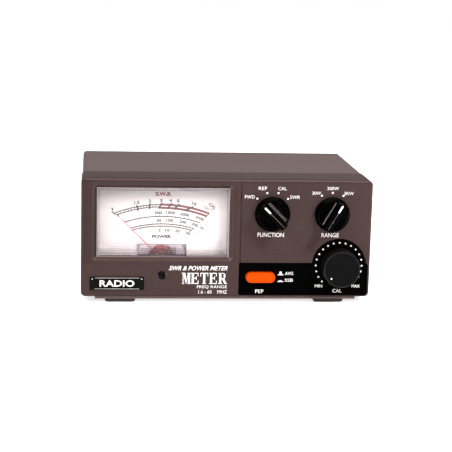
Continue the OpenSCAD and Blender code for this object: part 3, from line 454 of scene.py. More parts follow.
def make_materials():
    """One finish for each of the record's material slots, then those of the prints, the knobs'
    painted highlights and the lens's lines."""
    steel = (0.62, 0.61, 0.6)
    painted("case_paint", shade(PAINT, 0.82), 0.5, shine=0.38)
    painted("bezel_plastic", shade(PAINT, 0.62), 0.42, 0.9, 2300, 0.2, 0.07)
    paint_rim_light_and_shade("bezel_plastic")
    plastic("overlay_black", (0.0007, 0.0006, 0.0006), 0.4, 2600, 0.12, shine=0.005)
    plastic("badge_black", (0.0012, 0.0011, 0.0011), 0.2, 1200, 0.03, shine=0.05)
    plastic("foot_rubber", (0.03, 0.022, 0.022), 0.7, 1800, 0.3, shine=0.1)
    painted("chassis_steel", shade(PAINT, 0.95), 0.5)
    metal("screw_steel", steel, 0.28)
    metal("dark_screw", (0.07, 0.065, 0.065), 0.35)
    clear("lens_clear")
    plastic("meter_case_white", (0.75, 0.73, 0.7), 0.4)
    dial_with_painted_light("dial_white")
    metal("yoke_steel", (0.6, 0.5, 0.54), 0.35, (1, 0.1, 1), glow=0.5)
    ink("magnet_red", (0.42, 0.07, 0.06), 0.45, 0.5)
    metal("bridge_alloy", (0.62, 0.58, 0.62), 0.35, (0.1, 1, 1), glow=0.55)
    metal("brass", (0.72, 0.5, 0.2), 0.25)
    metal("coil_copper", (0.4, 0.06, 0.04), 0.35, (1, 0.2, 1), 2400, 0.3, glow=0.3)
    ink("needle_red", (0.62, 0.05, 0.05), 0.5, 0.12)
    metal("spring_bronze", (0.45, 0.1, 0.08), 0.3, glow=0.25)
    clear("lamp_glass", (1, 0.93, 0.75))
    plastic("black_rubber", (0.02, 0.02, 0.02), 0.6, 1800, 0.2)
    plastic("switch_body", (0.03, 0.06, 0.11), 0.4)
    metal("shaft_metal", (0.6, 0.59, 0.57), 0.3, (1, 0.1, 1))
    plastic("knob_black", (0.0004, 0.0004, 0.0004), 0.16, 1600, 0.04, shine=0.014)
    plastic("cal_knob_black", (0.0034, 0.0033, 0.0033), 0.4, 3000, 0.2, shine=0.02)
    plastic("switch_ivory", (0.7, 0.66, 0.52), 0.4)
    plastic("button_orange", (0.62, 0.054, 0.0003), 0.4, 1500, 0.06, 0.05, 0.03)
    board("board_green", (0.02, 0.1, 0.04))
    metal("box_tin", (0.6, 0.6, 0.58), 0.35, (0.15, 1, 1), 500)
    metal("socket_nickel", (0.66, 0.64, 0.6), 0.22)
    plastic("insulator_white", (0.82, 0.8, 0.74), 0.45)
    metal("gold_plate", (0.83, 0.58, 0.2), 0.2)
    metal("coil_ferrite", (0.35, 0.14, 0.07), 0.45)
    plastic("parts_orange", (0.75, 0.22, 0.04), 0.35)
    plastic("jack_black", (0.004, 0.0036, 0.0036), 0.35, shine=0.06)
    plastic("cable_grey", (0.05, 0.05, 0.055), 0.5)
    plastic("lead_red", (0.45, 0.015, 0.015), 0.4)
    plastic("lead_yellow", (0.72, 0.5, 0.03), 0.4)
    ink("print_white", WHITE, 0.5, 0.1)
    ink("print_black", (0.004, 0.003, 0.003), 0.6)
    ink("print_red", (0.16, 0.0005, 0.002), 0.6, 0.03)
    plastic("knob_painted_highlight", (0.14, 0.115, 0.12), 0.3, 1500, 0.04, shine=0.3)
    clear("lens_edge", (0.66, 0.62, 0.63))
    clear("lens_rib", (0.6, 0.54, 0.56))
    plastic("lens_highlight", (0.34, 0.29, 0.3), 0.3, 1500, 0.04, shine=0.3)
    clear("lens_shadow", (0.26, 0.2, 0.21))
    plastic("knob_rim_highlight", (0.022, 0.021, 0.021), 0.3, 1500, 0.04, shine=0.1)


# ---- Mesh building ----

def add_piece(name, vertices, faces, body, material, smooth=40, replaced=()):
    """A closed mesh, in millimetres, that rides on a body and takes a finish."""
    mesh = bpy.data.meshes.new(name)
    mesh.from_pydata([Vector(v) * MM for v in vertices], [], faces)
    work = bmesh.new()
    work.from_mesh(mesh)
    bmesh.ops.remove_doubles(work, verts=work.verts, dist=0.002 * MM)
    bmesh.ops.recalc_face_normals(work, faces=work.faces)
    work.to_mesh(mesh)
    work.free()
    mesh.materials.append(MATERIALS[material])
    piece = bpy.data.objects.new(name, mesh)
    bpy.context.scene.collection.objects.link(piece)
    if smooth:
        mesh.polygons.foreach_set("use_smooth", [True] * len(mesh.polygons))
        mesh.set_sharp_from_angle(angle=math.radians(smooth))
    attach(piece, body)
    if replaced:
        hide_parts(*replaced)
    return piece


class Solid:
    """Vertices and faces of one or more closed shapes, gathered for one piece."""

    def __init__(self):
        self.vertices = []
        self.faces = []

    def add(self, vertices, faces):
        start = len(self.vertices)
        self.vertices += vertices
        self.faces += [[start + i for i in face] for face in faces]

    def loft(self, rings, closed=False):
        """Rings with as many points each, joined one to the next, and capped unless closed."""
        count = len(rings[0])
        faces = []
        steps = len(rings) if closed else len(rings) - 1
        for i in range(steps):
            here, there = i * count, (i + 1) % len(rings) * count
            faces += [[here + j, here + (j + 1) % count, there + (j + 1) % count, there + j]
                      for j in range(count)]
        if not closed:
            faces += [list(range(count))[::-1], [(len(rings) - 1) * count + j for j in range(count)]]
        self.add([point for ring in rings for point in ring], faces)

    def lathe(self, x, z, profile, sides=96):
        """A profile of (radius, y) turned about the Y axis through x, z. Its ends lie on the axis,
        or it comes back to its start as a ring."""
        ring = profile[0][0] > 0
        inner = profile if ring else profile[1:-1]
        turns = [2 * math.pi * i / sides for i in range(sides)]
        rings = [[(x + r * math.cos(t), y, z + r * math.sin(t)) for t in turns] for r, y in inner]
        if ring:
            self.loft(rings, closed=True)
            return
        count = sides
        points = [point for row in rings for point in row]
        faces = []
        for i in range(len(rings) - 1):
            faces += [[i * count + j, i * count + (j + 1) % count,
                       (i + 1) * count + (j + 1) % count, (i + 1) * count + j] for j in range(count)]
        first, last = len(points), len(points) + 1
        points += [(x, profile[0][1], z), (x, profile[-1][1], z)]
        faces += [[first, (j + 1) % count, j] for j in range(count)]
        end = (len(rings) - 1) * count
        faces += [[last, end + j, end + (j + 1) % count] for j in range(count)]
        self.add(points, faces)

    def plate(self, outline, y, thick):
        """An outline of (x, z) points made into a thin plate, from y back by its thickness."""
        self.loft([[(px, y, pz) for px, pz in outline], [(px, y + thick, pz) for px, pz in outline]])

    def build(self, name, body, material, slot, smooth=40, replaced=()):
        """The piece made of all that was gathered."""
        return add_piece(name, self.vertices, self.faces, body, material, smooth, replaced)


def arc_points(cx, cz, radius, start, end, steps):
    """Points on an arc; angles in degrees, clockwise from straight up."""
    angles = [math.radians(start + (end - start) * i / steps) for i in range(steps + 1)]
    return [(cx + radius * math.sin(a), cz + radius * math.cos(a)) for a in angles]


def turned(points, cx, cz, degrees):
    """Points (x, z) turned clockwise about a centre."""
    a = math.radians(degrees)
    return [(cx + (x - cx) * math.cos(a) + (z - cz) * math.sin(a),
             cz - (x - cx) * math.sin(a) + (z - cz) * math.cos(a)) for x, z in points]


def stroke(start, end, width):
    """The outline of a straight line of a given width."""
    (x0, z0), (x1, z1) = start, end
    length = math.hypot(x1 - x0, z1 - z0)
    nx, nz = -(z1 - z0) / length * width / 2, (x1 - x0) / length * width / 2
    return [(x0 - nx, z0 - nz), (x1 - nx, z1 - nz), (x1 + nx, z1 + nz), (x0 + nx, z0 + nz)]


def text_mesh(words, bold, slant):
    """Flat lettering as (points, faces) in the x, z plane, one unit high before it is fitted."""
    data = bpy.data.curves.new("words", "FONT")
    data.body = words
    data.size = 1
    data.offset = bold
    data.shear = slant
    data.resolution_u = 3
    item = bpy.data.objects.new("words", data)
    bpy.context.scene.collection.objects.link(item)
    bpy.context.view_layer.update()
    mesh = item.to_mesh()
    points = [(v.co.x, v.co.y) for v in mesh.vertices]
    faces = [list(p.vertices) for p in mesh.polygons]
    item.to_mesh_clear()
    bpy.data.objects.remove(item)
    bpy.data.curves.remove(data)
    return points, faces


class Print(Solid):
    """Lettering and marks that lie on a face. A print on the front looks towards -Y."""

    thick = 0.03

    def __init__(self, y, behind=False):
        super().__init__()
        self.y = y
        self.behind = behind

    def words(self, text, x0, x1, z0, z1, bold=0.0, slant=0.0, turn=0.0):
        """Words that fill the box from x0, z0 to x1, z1, and are then turned about its middle."""
        points, faces = text_mesh(text, bold, slant)
        low_x, high_x = min(p[0] for p in points), max(p[0] for p in points)
        low_z, high_z = min(p[1] for p in points), max(p[1] for p in points)
        if self.behind:
            x0, x1 = x1, x0
        fitted = [(x0 + (px - low_x) / (high_x - low_x) * (x1 - x0),
                   z0 + (pz - low_z) / (high_z - low_z) * (z1 - z0)) for px, pz in points]
        fitted = turned(fitted, (x0 + x1) / 2, (z0 + z1) / 2, turn)
        near, far = self.y, self.y + (-self.thick if self.behind else self.thick)
        count = len(fitted)
        edges = {}
        for face in faces:
            for a, b in zip(face, face[1:] + face[:1]):
                edges[(a, b)] = edges.get((a, b), 0) + 1
        rim = [(a, b) for a, b in edges if (b, a) not in edges]
        self.add([(px, near, pz) for px, pz in fitted] + [(px, far, pz) for px, pz in fitted],
                 faces + [[count + i for i in face[::-1]] for face in faces]
                 + [[b, a, count + a, count + b] for a, b in rim])

    def mark(self, outline):
        self.plate(outline, self.y, -self.thick if self.behind else self.thick)

    def dot(self, x, z, radius):
        self.mark(arc_points(x, z, radius, 0, 345, 23))

    def line(self, points, width):
        """A bent line, one stroke for each stretch."""
        for start, end in zip(points, points[1:]):
            self.mark(stroke(start, end, width))

    def band(self, cx, cz, r0, r1, start, end, steps=40):
        """A curved strip between two radii."""
        self.mark(arc_points(cx, cz, r0, start, end, steps) + arc_points(cx, cz, r1, end, start, steps))


def refine(node, bevel, merge=True):
    """Rounds the edges of a CAD node with modifiers, and leaves its own mesh alone. Merging flat
    neighbours first helps the bevel, but spoils a face with many holes."""
    piece = NODES[node]
    weld = piece.modifiers.new("weld", "WELD")
    weld.merge_threshold = 0.002 * MM
    if merge:
        flat = piece.modifiers.new("flat", "DECIMATE")
        flat.decimate_type = "DISSOLVE"
        flat.angle_limit = math.radians(0.6)
    if bevel:
        edge = piece.modifiers.new("edge", "BEVEL")
        edge.width = bevel * MM
        edge.segments = 2
        edge.limit_method = "ANGLE"
        edge.angle_limit = math.radians(34)
        edge.use_clamp_overlap = True
        edge.harden_normals = False
    normals = piece.modifiers.new("normals", "WEIGHTED_NORMAL")
    normals.keep_sharp = False
    normals.weight = 80


# ---- Front controls ----

def bar_knob(name, axis, angle, body, lit_side):
    """A round skirt with a diametral grip bar that widens into it, and a white line on the bar.
    The lit side of the bar's foot, 1 for clockwise from its line, has a painted highlight."""
    x, z = axis.x, axis.z
    knob = Solid()
    f = FRONT
    knob.lathe(x, z, [
        (0, f - 4.0), (4, f - 4.05), (6.6, f - 4.3), (7.1, f - 4.55), (7.4, f - 4.62), (7.7, f - 4.5),
        (9.0, f - 2.5), (9.25, f - 2.2), (9.37, f - 1.9), (9.4, f - 1.6), (9.4, f - 0.95), (9.25, f - 0.8),
        (7.4, f - 0.8), (7.4, f - 2.9), (0, f - 2.9)])
    levels = [(3.4, 3.5, 8.5), (4.3, 3.3, 8.45), (4.8, 2.85, 8.4), (5.6, 2.6, 8.35), (8.0, 2.3, 8.2),
              (10.6, 2.12, 8.05), (11.05, 2.05, 8.0), (11.3, 1.9, 7.88), (11.42, 1.68, 7.7)]
    rings = []
    for proud, half, reach in levels:
        lean = math.degrees(math.asin(half / reach))
        outline = (arc_points(0, 0, reach, -lean, lean, 8)
                   + arc_points(0, 0, reach, 180 - lean, 180 + lean, 8))
        rings.append([(x + px, f - proud, z + pz) for px, pz in turned(outline, 0, 0, angle)])
    knob.loft(rings)
    knob.build(name, body, "knob_black", "knob_black", 50, (name,))
    line = Solid()
    line.plate([(x + px, z + pz) for px, pz in turned(
        [(-0.45, 3.3), (0.45, 3.3), (0.45, 7.4), (0, 7.6), (-0.45, 7.4)], 0, 0, angle)], f - 11.48, 0.1)
    line.build(name + "_line", body, "print_white", "knob_black", 0)
    # painted highlights: along the foot of the bar on its lit side, and a fine line down its middle
    edges = Solid()
    highlight_bands = []
    for proud, half in ((5.0, 2.79), (5.6, 2.6), (6.5, 2.49)):
        inner, outer = lit_side * (half - 0.1), lit_side * (half + 0.05)
        band = [(inner, -6.8), (outer, -6.8), (outer, 6.8), (inner, 6.8)]
        highlight_bands.append([(x + px, f - proud, z + pz) for px, pz in turned(band, 0, 0, angle)])
    edges.loft(highlight_bands)
    # a second painted highlight on the skirt beside the foot, on the clockwise side only
    if lit_side > 0:
        edges.plate([(x + px, z + pz) for px, pz in turned(
            [(3.3, -6.8), (3.55, -6.8), (3.55, 6.2), (3.3, 6.2)], 0, 0, angle)], f - 4.75, 0.4)
    edges.plate([(x + px, z + pz) for px, pz in turned(
        [(-0.08, -7.3), (0.08, -7.3), (0.08, 3.0), (-0.08, 3.0)], 0, 0, angle)], f - 11.46, 0.1)
    edges.build(name + "_painted_highlights", body, "knob_painted_highlight", "knob_black", 0)


def cal_knob():
    """A plain round knob with a softened edge, a painted highlight as a fine lighter ring round its
    face, a dimple near its rim, and a painted glint as a white dot in the dimple.
    """
    f = FRONT
    low = box_mm("cal_knob")[0].y
    knob = Solid()
    knob.lathe(CAL.x, CAL.z, [
        (0, low), (6, low), (9.35, low + 0.01), (9.6, low + 0.06), (9.78, low + 0.18), (9.86, low + 0.34),
        (9.9, low + 0.6), (10, f - 1.2), (9.9, f - 0.9), (9.7, f - 0.8), (6.4, f - 0.8), (6.4, f - 3),
        (0, f - 3)], 128)
    piece = knob.build("cal_knob_turned", "calibration_control", "cal_knob_black", "cal_knob_black", 50,
                       ("cal_knob",))
    (dimple_x, dimple_z), = turned([(CAL.x, CAL.z + 7.4)], CAL.x, CAL.z, -135)
    spot = Vector((dimple_x, low - 0.35, dimple_z))
    cut_with_ball(piece, spot, 1.15)
    # painted glint: a white dot in the hollow, off its middle towards the upper left
    dot = Solid()
    dot.lathe(spot.x - 0.25, spot.z + 0.25, [(0, low + 0.1), (0.42, low + 0.12), (0.45, low + 0.5),
                                         (0, low + 0.6)], 24)
    dot.build("cal_knob_glint", "calibration_control", "print_white", "cal_knob_black", 50)
    # painted highlight: a fine lighter ring round the face near its edge
    rim = Solid()
    rim.lathe(CAL.x, CAL.z, [(9.3, low + 0.1), (9.32, low), (9.6, low + 0.05), (9.62, low + 0.2),
                             (9.3, low + 0.1)], 128)
    rim.build("cal_knob_rim", "calibration_control", "knob_rim_highlight", "cal_knob_black", 50)


def cut_with_ball(piece, centre, radius):
    """Cuts a round hollow into a piece."""
    bpy.ops.mesh.primitive_uv_sphere_add(segments=32, ring_count=16, radius=radius * MM,
                                         location=centre * MM)
    ball = bpy.context.object
    cut = piece.modifiers.new("hollow", "BOOLEAN")
    cut.operation = "DIFFERENCE"
    cut.solver = "EXACT"
    cut.object = ball
    bpy.context.view_layer.update()
    result = bpy.data.meshes.new_from_object(
        piece.evaluated_get(bpy.context.evaluated_depsgraph_get()))
    piece.modifiers.clear()
    piece.data = result
    bpy.data.objects.remove(ball)


def stadium(cx, cz, width, height):
    """The outline of a bar with half-round ends."""
    r, reach = height / 2, width / 2 - height / 2
    return arc_points(cx + reach, cz, r, 0, 180, 14) + arc_points(cx - reach, cz, r, 180, 360, 14)


def mode_button():
    """The orange push button, with a rolled edge and a slightly crowned face."""
    low, high = box_mm("mode_button")
    cx, cz = (low.x + high.x) / 2, (low.z + high.z) / 2
    width, height = high.x - low.x, high.z - low.z
    rings = []
    for depth, inset in [(5.2, 0), (0.9, 0), (0.45, 0.1), (0.18, 0.3), (0.05, 0.55), (0, 0.9),
                         (0.06, 1.3), (0.1, 1.7), (0.1, 2.6)]:
        rings.append([(px, low.y + depth, pz)
                      for px, pz in stadium(cx, cz, width - 2 * inset, height - 2 * inset)])
    button = Solid()
    button.loft(rings)
    button.build("mode_button_cap", "mode_button", "button_orange", "button_orange", 50, ("mode_button",))


# ---- Printing on the front face ----

def ring_dots(print_, axis, radius, angles, size):
    """Dots round a control's axis, at angles clockwise from straight up."""
    for angle in angles:
        (x, z), = turned([(axis.x, axis.z + radius)], axis.x, axis.z, angle)
        print_.dot(x, z, size)


def serif_word(print_, word, x0, x1, z0, z1):
    """A word in heavy upright letters with thin serifs, drawn as strokes on a unit box."""
    thick, thin, foot = 0.25, 0.075, 0.07

    def stem(cx, low=0.0, high=1.0):
        return bar(cx - thick / 2, cx + thick / 2, low, high)

    def bar(left, right, low, high):
        return [[(left, low), (right, low), (right, high), (left, high)]]

    def serifs(cx, ends=(0, 1)):
        made = []
        for end in ends:
            low = end * (1 - foot)
            made += bar(cx - thick / 2 - 0.1, cx + thick / 2 + 0.1, low, low + foot)
        return made

    def tip(x, low, high):
        return [[(x - thin, low), (x, low), (x, high), (x - thin, high)]]

    shapes = {
        "M": stem(0.86) + bar(0.14, 0.14 + thin, 0, 1) + serifs(0.86) + bar(0.04, 0.32, 0, foot)
        + bar(0.02, 0.26, 1 - foot, 1) + [[(0.16, 1), (0.42, 1), (0.62, 0.22), (0.5, 0)]]
        + [[(0.5, 0), (0.56, 0.1), (0.8, 1), (0.74, 1)]],
        "E": stem(0.24) + serifs(0.24) + bar(0.24, 0.86, 0, thin) + bar(0.24, 0.86, 1 - thin, 1)
        + bar(0.24, 0.64, 0.48, 0.48 + thin) + tip(0.9, 0, 0.3) + tip(0.88, 0.7, 1) + tip(0.68, 0.36, 0.68),
        "T": stem(0.5) + serifs(0.5, (0,)) + bar(0.08, 0.92, 1 - thin, 1) + tip(0.12, 0.68, 1)
        + tip(0.96, 0.68, 1),
        "R": stem(0.24) + serifs(0.24) + bar(0.24, 0.62, 1 - thin, 1) + bar(0.24, 0.62, 0.46, 0.46 + thin)
        + [arc_points(0.58, 0.73, 0.27, 0, 180, 12) + arc_points(0.58, 0.73, 0.19, 180, 0, 12)]
        + bar(0.62, 0.85, 0.62, 0.84) + [[(0.44, 0.5), (0.7, 0.5), (0.98, 0), (0.72, 0)]]
        + bar(0.7, 1.04, 0, foot),
    }
    pitch = (x1 - x0) / len(word)
    for i, letter in enumerate(word):
        for outline in shapes[letter]:
            print_.mark([(x0 + (i + px * 0.94) * pitch, z0 + pz * (z1 - z0)) for px, pz in outline])


def panel_print():
    """White words, dots and signs on the front face."""
    ink_ = Print(FRONT - 0.03)
    b = BASE
    ink_.words("SWR & POWER METER", -30.8, 0.5, b + 14.4, b + 16.8, 0.012, 0.35)
    serif_word(ink_, "METER", -24.0, 0.5, b + 7.0, b + 13.1)
    ink_.words("FREQ RANGE", -15.7, 0.4, b + 4.4, b + 6.2)
    ink_.words("1.6 - 60    MHZ", -14.9, 0.4, b + 1.7, b + 3.6)
    # function selector
    ring_dots(ink_, FUNCTION, 11.6, [-45, -15, 15, 45], 0.55)
    ink_.words("FWD", 8.8, 14.0, b + 53.5, b + 55.3)
    ink_.words("REF", 16.0, 20.5, b + 58.1, b + 59.9)
    ink_.words("CAL", 26.4, 30.9, b + 58.1, b + 59.9)
    ink_.words("SWR", 32.9, 38.2, b + 53.5, b + 55.3)
    ink_.words("FUNCTION", 16.1, 30.2, b + 32.8, b + 35.1, 0.004)
    # range selector
    ring_dots(ink_, RANGE, 11.6, [-30, 0, 30], 0.55)
    ink_.words("30W", 44.7, 49.4, b + 55.8, b + 57.5)
    ink_.words("300W", 52.7, 58.9, b + 58.4, b + 60.1)
    ink_.words("3KW", 61.9, 67.0, b + 55.8, b + 57.5)
    ink_.words("RANGE", 50.5, 59.8, b + 32.8, b + 35.1, 0.004)
    # calibration knob
    ring_dots(ink_, CAL, 12.5, [-135 + 15 * i for i in range(19)], 0.45)
    ink_.words("MIN", 47.9, 51.9, b + 5.2, b + 6.8)
    ink_.words("MAX", 68.0, 72.4, b + 5.2, b + 6.8)
    ink_.words("CAL", 57.6, 62.6, b + 2.4, b + 4.3)
    # push button
    ink_.words("AVG", 31.5, 35.9, b + 12.0, b + 13.7)
    ink_.words("SSB", 31.5, 35.9, b + 8.3, b + 10.0)
    ink_.words("PEP", 15.7, 20.2, b + 2.0, b + 4.0)
    for low, proud in ((b + 11.9, 2.0), (b + 8.2, 0.9)):
        ink_.mark([(27.6, low), (30.6, low), (30.6, low + 0.45), (27.6, low + 0.45)])
        ink_.mark([(28.4, low + 0.4), (29.8, low + 0.4), (29.6, low + proud), (28.6, low + proud)])
    ink_.build("panel_lettering", "case", "print_white", "bezel_plastic", 0)


def badge_print():
    """A plain word and two thin lines in place of a name."""
    low, high = box_mm("badge_plate")
    words = Print(low.y - 0.03)
    middle = (low.x + high.x) / 2
    words.words("RADIO", middle - 9.2, middle + 9.2, low.z + 1.75, high.z - 1.75, 0.018)
    for z in (low.z + 0.55, high.z - 0.55):
        words.line([(low.x + 2.6, z), (high.x - 2.6, z)], 0.12)
    # painted glints: two white dots at the upper corners
    for x in (low.x + 1.2, high.x - 1.2):
        words.dot(x, high.z - 1.1, 0.28)
    words.build("badge_word", "case", "print_white", "badge_black", 0)


# ---- Dial ----

class DialScale:
    """Curved scales whose marks are set by the needle's angle."""

    def __init__(self, bulge=39.6):
        self.cx = PIVOT.x
        self.cz = PIVOT.z - bulge
        self.bulge = bulge

    def at(self, angle, radius):
        """The point where the needle, at an angle from straight up, crosses an arc."""
        a = math.radians(angle)
        reach = self.bulge * math.cos(a)
        along = -reach + math.sqrt(reach ** 2 + radius ** 2 - self.bulge ** 2)
        return self.cx + along * math.sin(a), PIVOT.z + along * math.cos(a)

    def lean(self, angle, radius):
        """That point's own angle about the arc's centre."""
        x, z = self.at(angle, radius)
        return math.degrees(math.atan2(x - self.cx, z - self.cz))

    def arc(self, print_, radius, start, end, width):
        """A line along an arc, between two of the needle's angles."""
        print_.band(self.cx, self.cz, radius - width / 2, radius + width / 2,
                    self.lean(start, radius), self.lean(end, radius))

    def tick(self, print_, angle, r0, r1, width):
        """A short line along the needle, from one arc to another."""
        print_.line([self.at(angle, r0), self.at(angle, r1)], width)

    def label(self, print_, text, x, z, height, width, turn=0.0, bold=0.045):
        """A figure or a word about its middle."""
        print_.words(text, x - width / 2, x + width / 2, z - height / 2, z + height / 2, bold, 0, turn)

    def slash(self, print_, angle, r0, r1, lean, width):
        """A tick that leans over, from one radius to another."""
        print_.line([self.at(angle - lean, r0), self.at(angle + lean, r1)], width)


def infinity_points(x, z, reach, turn, steps=28):
    """A lying figure of eight."""
    loop = []
    for i in range(steps + 1):
        t = 2 * math.pi * i / steps
        shrink = 1 + math.sin(t) ** 2
        loop.append((x + reach * math.cos(t) / shrink, z + reach * math.sin(t) * math.cos(t) / shrink))
    return turned(loop, x, z, turn)


def dial_print():
    """The dial's standing-wave scale, three power scales, their figures and words."""
    b = BASE
    scale = DialScale()
    black, red = Print(DIAL_LOW.y - 0.03), Print(DIAL_LOW.y - 0.03)
    outer, inner, single, upper, lower = 68.85, 67.6, 62.45, 58.35, 57.2
    red_inner = 67.1
    end = 45.8
    # standing-wave scale: thin and black up to 3, then heavy and red to the end
    for radius in (outer, inner):
        scale.arc(black, radius, -end, -2, 0.6)
    scale.arc(red, outer, -2, end, 1.25)
    scale.arc(red, red_inner, -2, end, 1.25)
    for angle in (-41.5, -38, -34.5, -31.5, -28.5, -22.5, -19.5, -16.4, -10, -6.5):
        scale.tick(black, angle, inner, outer + 0.3, 0.24)
    for angle, lean in ((-25.6, 0.5), (-13.3, 1.0), (-2, 1.9), (7.7, 2.0), (15.2, 2.3), (27.5, 3.0)):
        scale.slash(black, angle, inner - 1.0, outer + 1.0, lean, 0.95)
    scale.tick(black, -end - 0.6, outer - 0.9, outer + 1.5, 0.7)
    scale.tick(black, -end + 0.4, inner - 1.4, inner + 0.5, 0.7)
    scale.tick(black, end, red_inner - 0.7, outer + 0.3, 0.5)
    for text, x, z, width, turn in (
            ("1", -60.9, 45.9, 0.8, -30), ("1.5", -48.0, 49.4, 2.8, -8), ("2", -41.1, 50.4, 1.4, 0),
            ("3", -35.1, 50.7, 1.4, 0), ("4", -30.0, 50.7, 1.5, 4), ("5", -26.0, 50.5, 1.5, 8),
            ("10", -17.4, 49.0, 2.5, 20)):
        scale.label(black, text, x, b + z - 0.1, 1.7, width, turn)
    black.line(infinity_points(-10.7, b + 46.6, 1.6, 28), 0.3)
    scale.label(red, "CAL", -7.6, b + 47.7, 1.9, 4.6, 38, 0.05)
    black.dot(-7.9, b + 45.9, 0.42)
    scale.tick(red, end + 0.8, outer - 3.4, outer - 1.9, 0.3)
    scale.label(red, "S.W.R", -33.9, b + 54.2, 2.3, 8.6, 0, 0.07)
    # high power scale
    scale.arc(black, single, -end, end, 0.6)
    for angle in (-end, -33.5, -27.5, -19.6, -13, -8.5, -3.3):
        scale.tick(black, angle, single, single + 0.7, 0.24)
    for angle in (-3.3, 2.6, 7, 12.5, 17.3, 22, 28.5, 33, 37, 41.4, end):
        scale.tick(black, angle, single - 0.3, single + (1.1 if angle in (-3.3, 7, 28.5, end) else 0.7), 0.3)
    for text, x, z, width, turn in (("500", -36.5, 44.0, 4.1, 0), ("1000", -29.9, 44.1, 5.0, 3),
                                    ("2000", -22.4, 43.1, 5.0, 11), ("3000", -14.2, 41.1, 5.0, 20)):
        scale.label(black, text, x, b + z - 0.1, 1.7, width, turn)
    # the two lower power scales
    for radius in (upper, lower):
        scale.arc(black, radius, -end, end, 0.6)
    for angle in (-end, -33, -23, -15, -8.3, -2, 4, 10, 17, 23, 28.5, 33, 37, 41, end):
        wide = angle in (-2, 7, 28.5, end)
        scale.tick(black, angle, upper, upper + 0.8, 0.5 if wide else 0.28)
        scale.tick(black, angle - 0.6, lower - 0.8, lower, 0.5 if wide else 0.28)
    scale.tick(black, end, lower - 1.3, upper + 0.9, 0.4)
    for text, x, z, width, turn in (
            ("50", -36.1, 39.9, 2.7, 0), ("100", -30.3, 39.9, 3.8, 3), ("200", -23.3, 39.1, 3.8, 10),
            ("300", -16.8, 37.6, 3.8, 22), ("5", -35.7, 34.5, 1.3, 0), ("10", -31.5, 34.5, 2.5, 3),
            ("20", -26.1, 34.1, 2.6, 10), ("30", -20.5, 32.9, 2.6, 22)):
        scale.label(black, text, x, b + z - 0.1, 1.65, width, turn)
    # bracket with the unit, and the scale's name
    black.line([(-10.6, b + 40.1), (-9.7, b + 39.3), (-11.7, b + 37.1)], 0.28)
    black.line([(-14.6, b + 34.2), (-16.9, b + 31.9), (-18.2, b + 32.1)], 0.28)
    scale.label(black, "W", -13.1, b + 35.7, 2.0, 2.5, 38)
    scale.label(black, "POWER", -34.5, b + 31.0, 1.9, 10.4, 0, 0.05)
    # the edge of the cut-out over the movement
    cut = PIVOT.z + 7.6
    black.line([(PIVOT.x - 13.4, cut), (PIVOT.x + 13.4, cut)], 0.22)
    black.build("dial_scales", "case", "print_black", "dial_white", 0)
    red.build("dial_red_scale", "case", "print_red", "dial_white", 0)


# ---- Window ----

def frame_strip(print_, x0, x1, z0, z1, width):
    """A thin frame round a rectangle, as four strips."""
    print_.mark([(x0, z1 - width), (x1, z1 - width), (x1, z1), (x0, z1)])
    print_.mark([(x0, z0), (x1, z0), (x1, z0 + width), (x0, z0 + width)])
    print_.mark([(x0, z0 + width), (x0 + width, z0 + width), (x0 + width, z1 - width), (x0, z1 - width)])
    print_.mark([(x1 - width, z0 + width), (x1, z0 + width), (x1, z1 - width), (x1 - width, z1 - width)])


def window_lines():
    """The lens's stepped edge: a light line, a painted highlight, with grey see-through frames inside
    it; the ribs across its foot, which show as grey lines; and painted shade on them over the movement."""
    edge_y, rib_y, shadow_y = FRONT + 2.27, FRONT + 1.95, FRONT + 2.05
    x0, x1, z0, z1 = WINDOW_LEFT, WINDOW_RIGHT, WINDOW_FOOT, WINDOW_TOP
    line, edge = Print(edge_y), Print(edge_y)
    # painted highlight: a light line along the lens's edge
    frame_strip(line, x0, x1, z0, z1, 0.3)
    frame_strip(edge, x0 + 0.3, x1 - 0.3, z0 + 0.3, z1 - 0.3, 0.35)
    frame_strip(edge, x0 + 0.95, x1 - 0.95, z0 + 0.2, z1 - 1.1, 0.3)
    ribs, faint, shadow = Print(rib_y), Print(rib_y), Print(shadow_y)
    for print_, height, width in ((faint, 3.4, 0.25), (faint, 2.3, 0.25),
                                  (ribs, 1.5, 0.3), (ribs, 0.75, 0.6)):
        print_.line([(x0 + 1, z0 + height), (x1 - 1, z0 + height)], width)
    # painted shade: darker see-through strips in front of the movement
    for height, width in ((4.3, 0.3), (3.2, 0.45), (2.1, 0.5), (1.1, 0.8)):
        shadow.line([(PIVOT.x - 13, z0 + height), (PIVOT.x + 13, z0 + height)], width)
        shadow.line([(PIVOT.x - 6.5, z0 + height + 0.5), (PIVOT.x + 7.5, z0 + height + 0.5)], 0.3)
    for print_, name, material in (
            (line, "lens_edge_highlight", "lens_highlight"), (edge, "lens_rim_lines", "lens_edge"),
            (ribs, "lens_rib_lines", "lens_rib"), (faint, "lens_faint_lines", "lens_edge"),
            (shadow, "lens_shadow_lines", "lens_shadow")):
        print_.build(name, "case", material, "lens_clear", 0)


# ---- Rear ----

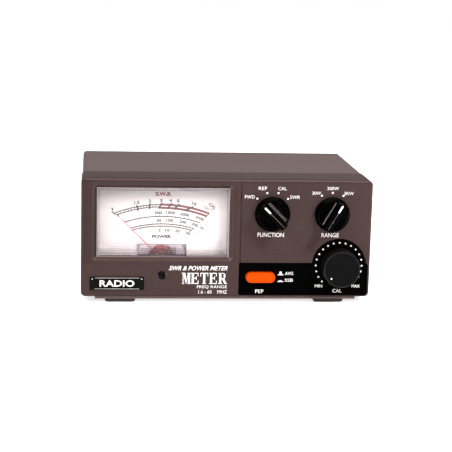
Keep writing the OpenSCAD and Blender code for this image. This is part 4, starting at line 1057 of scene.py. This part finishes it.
def threaded_socket(name):
    """A coaxial socket: a square flange with rounded corners, and a threaded barrel."""
    low, high = box_mm(name)
    x, z = (low.x + high.x) / 2, (low.z + high.z) / 2
    flange = 1.6
    start, end = REAR + flange, high.y
    pitch, outer, root, bore = 25.4 / 24, 7.94, 7.45, 6.3
    profile = [(bore, low.y), (outer, low.y), (outer, start + 0.6), (root, start + 0.9)]
    y = start + 1.0
    while y < end - 1.6:
        profile += [(root, y + 0.05), (outer, y + pitch * 0.45), (outer, y + pitch * 0.58),
                    (root, y + pitch)]
        y += pitch
    profile += [(root, end - 0.9), (outer - 0.1, end - 0.6), (outer - 0.1, end - 0.15), (outer - 0.3, end),
                (bore + 0.2, end), (bore, end - 0.15)]
    socket = Solid()
    socket.lathe(x, z, profile)
    socket.build(name + "_barrel", "case", "socket_nickel", "socket_nickel", 40, (name,))
    plate = Solid()
    half, corner = 12.7, 1.2
    reach = half - corner
    square = []
    for sx, sz, first in ((1, 1, 0), (1, -1, 90), (-1, -1, 180), (-1, 1, 270)):
        square += arc_points(x + sx * reach, z + sz * reach, corner, first, first + 90, 6)
    plate.loft([[(px, REAR, pz) for px, pz in square], [(px, REAR + flange - 0.2, pz) for px, pz in square],
                [(x + (px - x) * 0.985, REAR + flange, z + (pz - z) * 0.985) for px, pz in square]])
    plate.build(name + "_flange", "case", "socket_nickel", "socket_nickel", 40, (name,))


def rear_print():
    """Words over the two sockets and the jack."""
    ink_ = Print(REAR + 0.03, behind=True)
    for words, node, half, above, height, bold in (
            ("TX", "tx_socket", 2.8, 2.4, 3.0, 0.01), ("ANT", "antenna_socket", 4.2, 2.4, 3.0, 0.01),
            ("LAMP 12V", "dc_jack", 8, 3.6, 2.2, 0)):
        low, high = box_mm(node)
        middle, foot = (low.x + high.x) / 2, high.z + above
        ink_.words(words, middle - half, middle + half, foot, foot + height, bold)
    ink_.build("rear_lettering", "case", "print_white", "chassis_steel", 0)


# ---- Put together ----

make_materials()
for node, piece in NODES.items():
    piece.data.materials.clear()
    piece.data.materials.append(MATERIALS[SLOT_OF[node]])

make_stage()

BEVELS = {
    "top_cover": 0.25, "chassis": 0.25, "rear_panel": 0.25, "control_overlay": 0.08, "badge_plate": 0.2,
    "feet": 0.4, "meter_lens": 0.15, "zero_screw": 0.12, "cover_screws": 0.12, "foot_screws": 0.12,
    "bezel_screws": 0.12, "socket_screws": 0.12, "dc_jack": 0.2, "jack_nut": 0.15,
    "centre_contacts": 0.15, "socket_insulators": 0.15}
refine("front_bezel", 0, merge=False)
for node, bevel in BEVELS.items():
    refine(node, bevel)

bar_knob("function_knob", FUNCTION, -45, "function_selector", 1)
bar_knob("range_knob", RANGE, 30, "range_selector", -1)
cal_knob()
mode_button()
panel_print()
badge_print()
dial_print()
window_lines()
threaded_socket("tx_socket")
threaded_socket("antenna_socket")
rear_print()
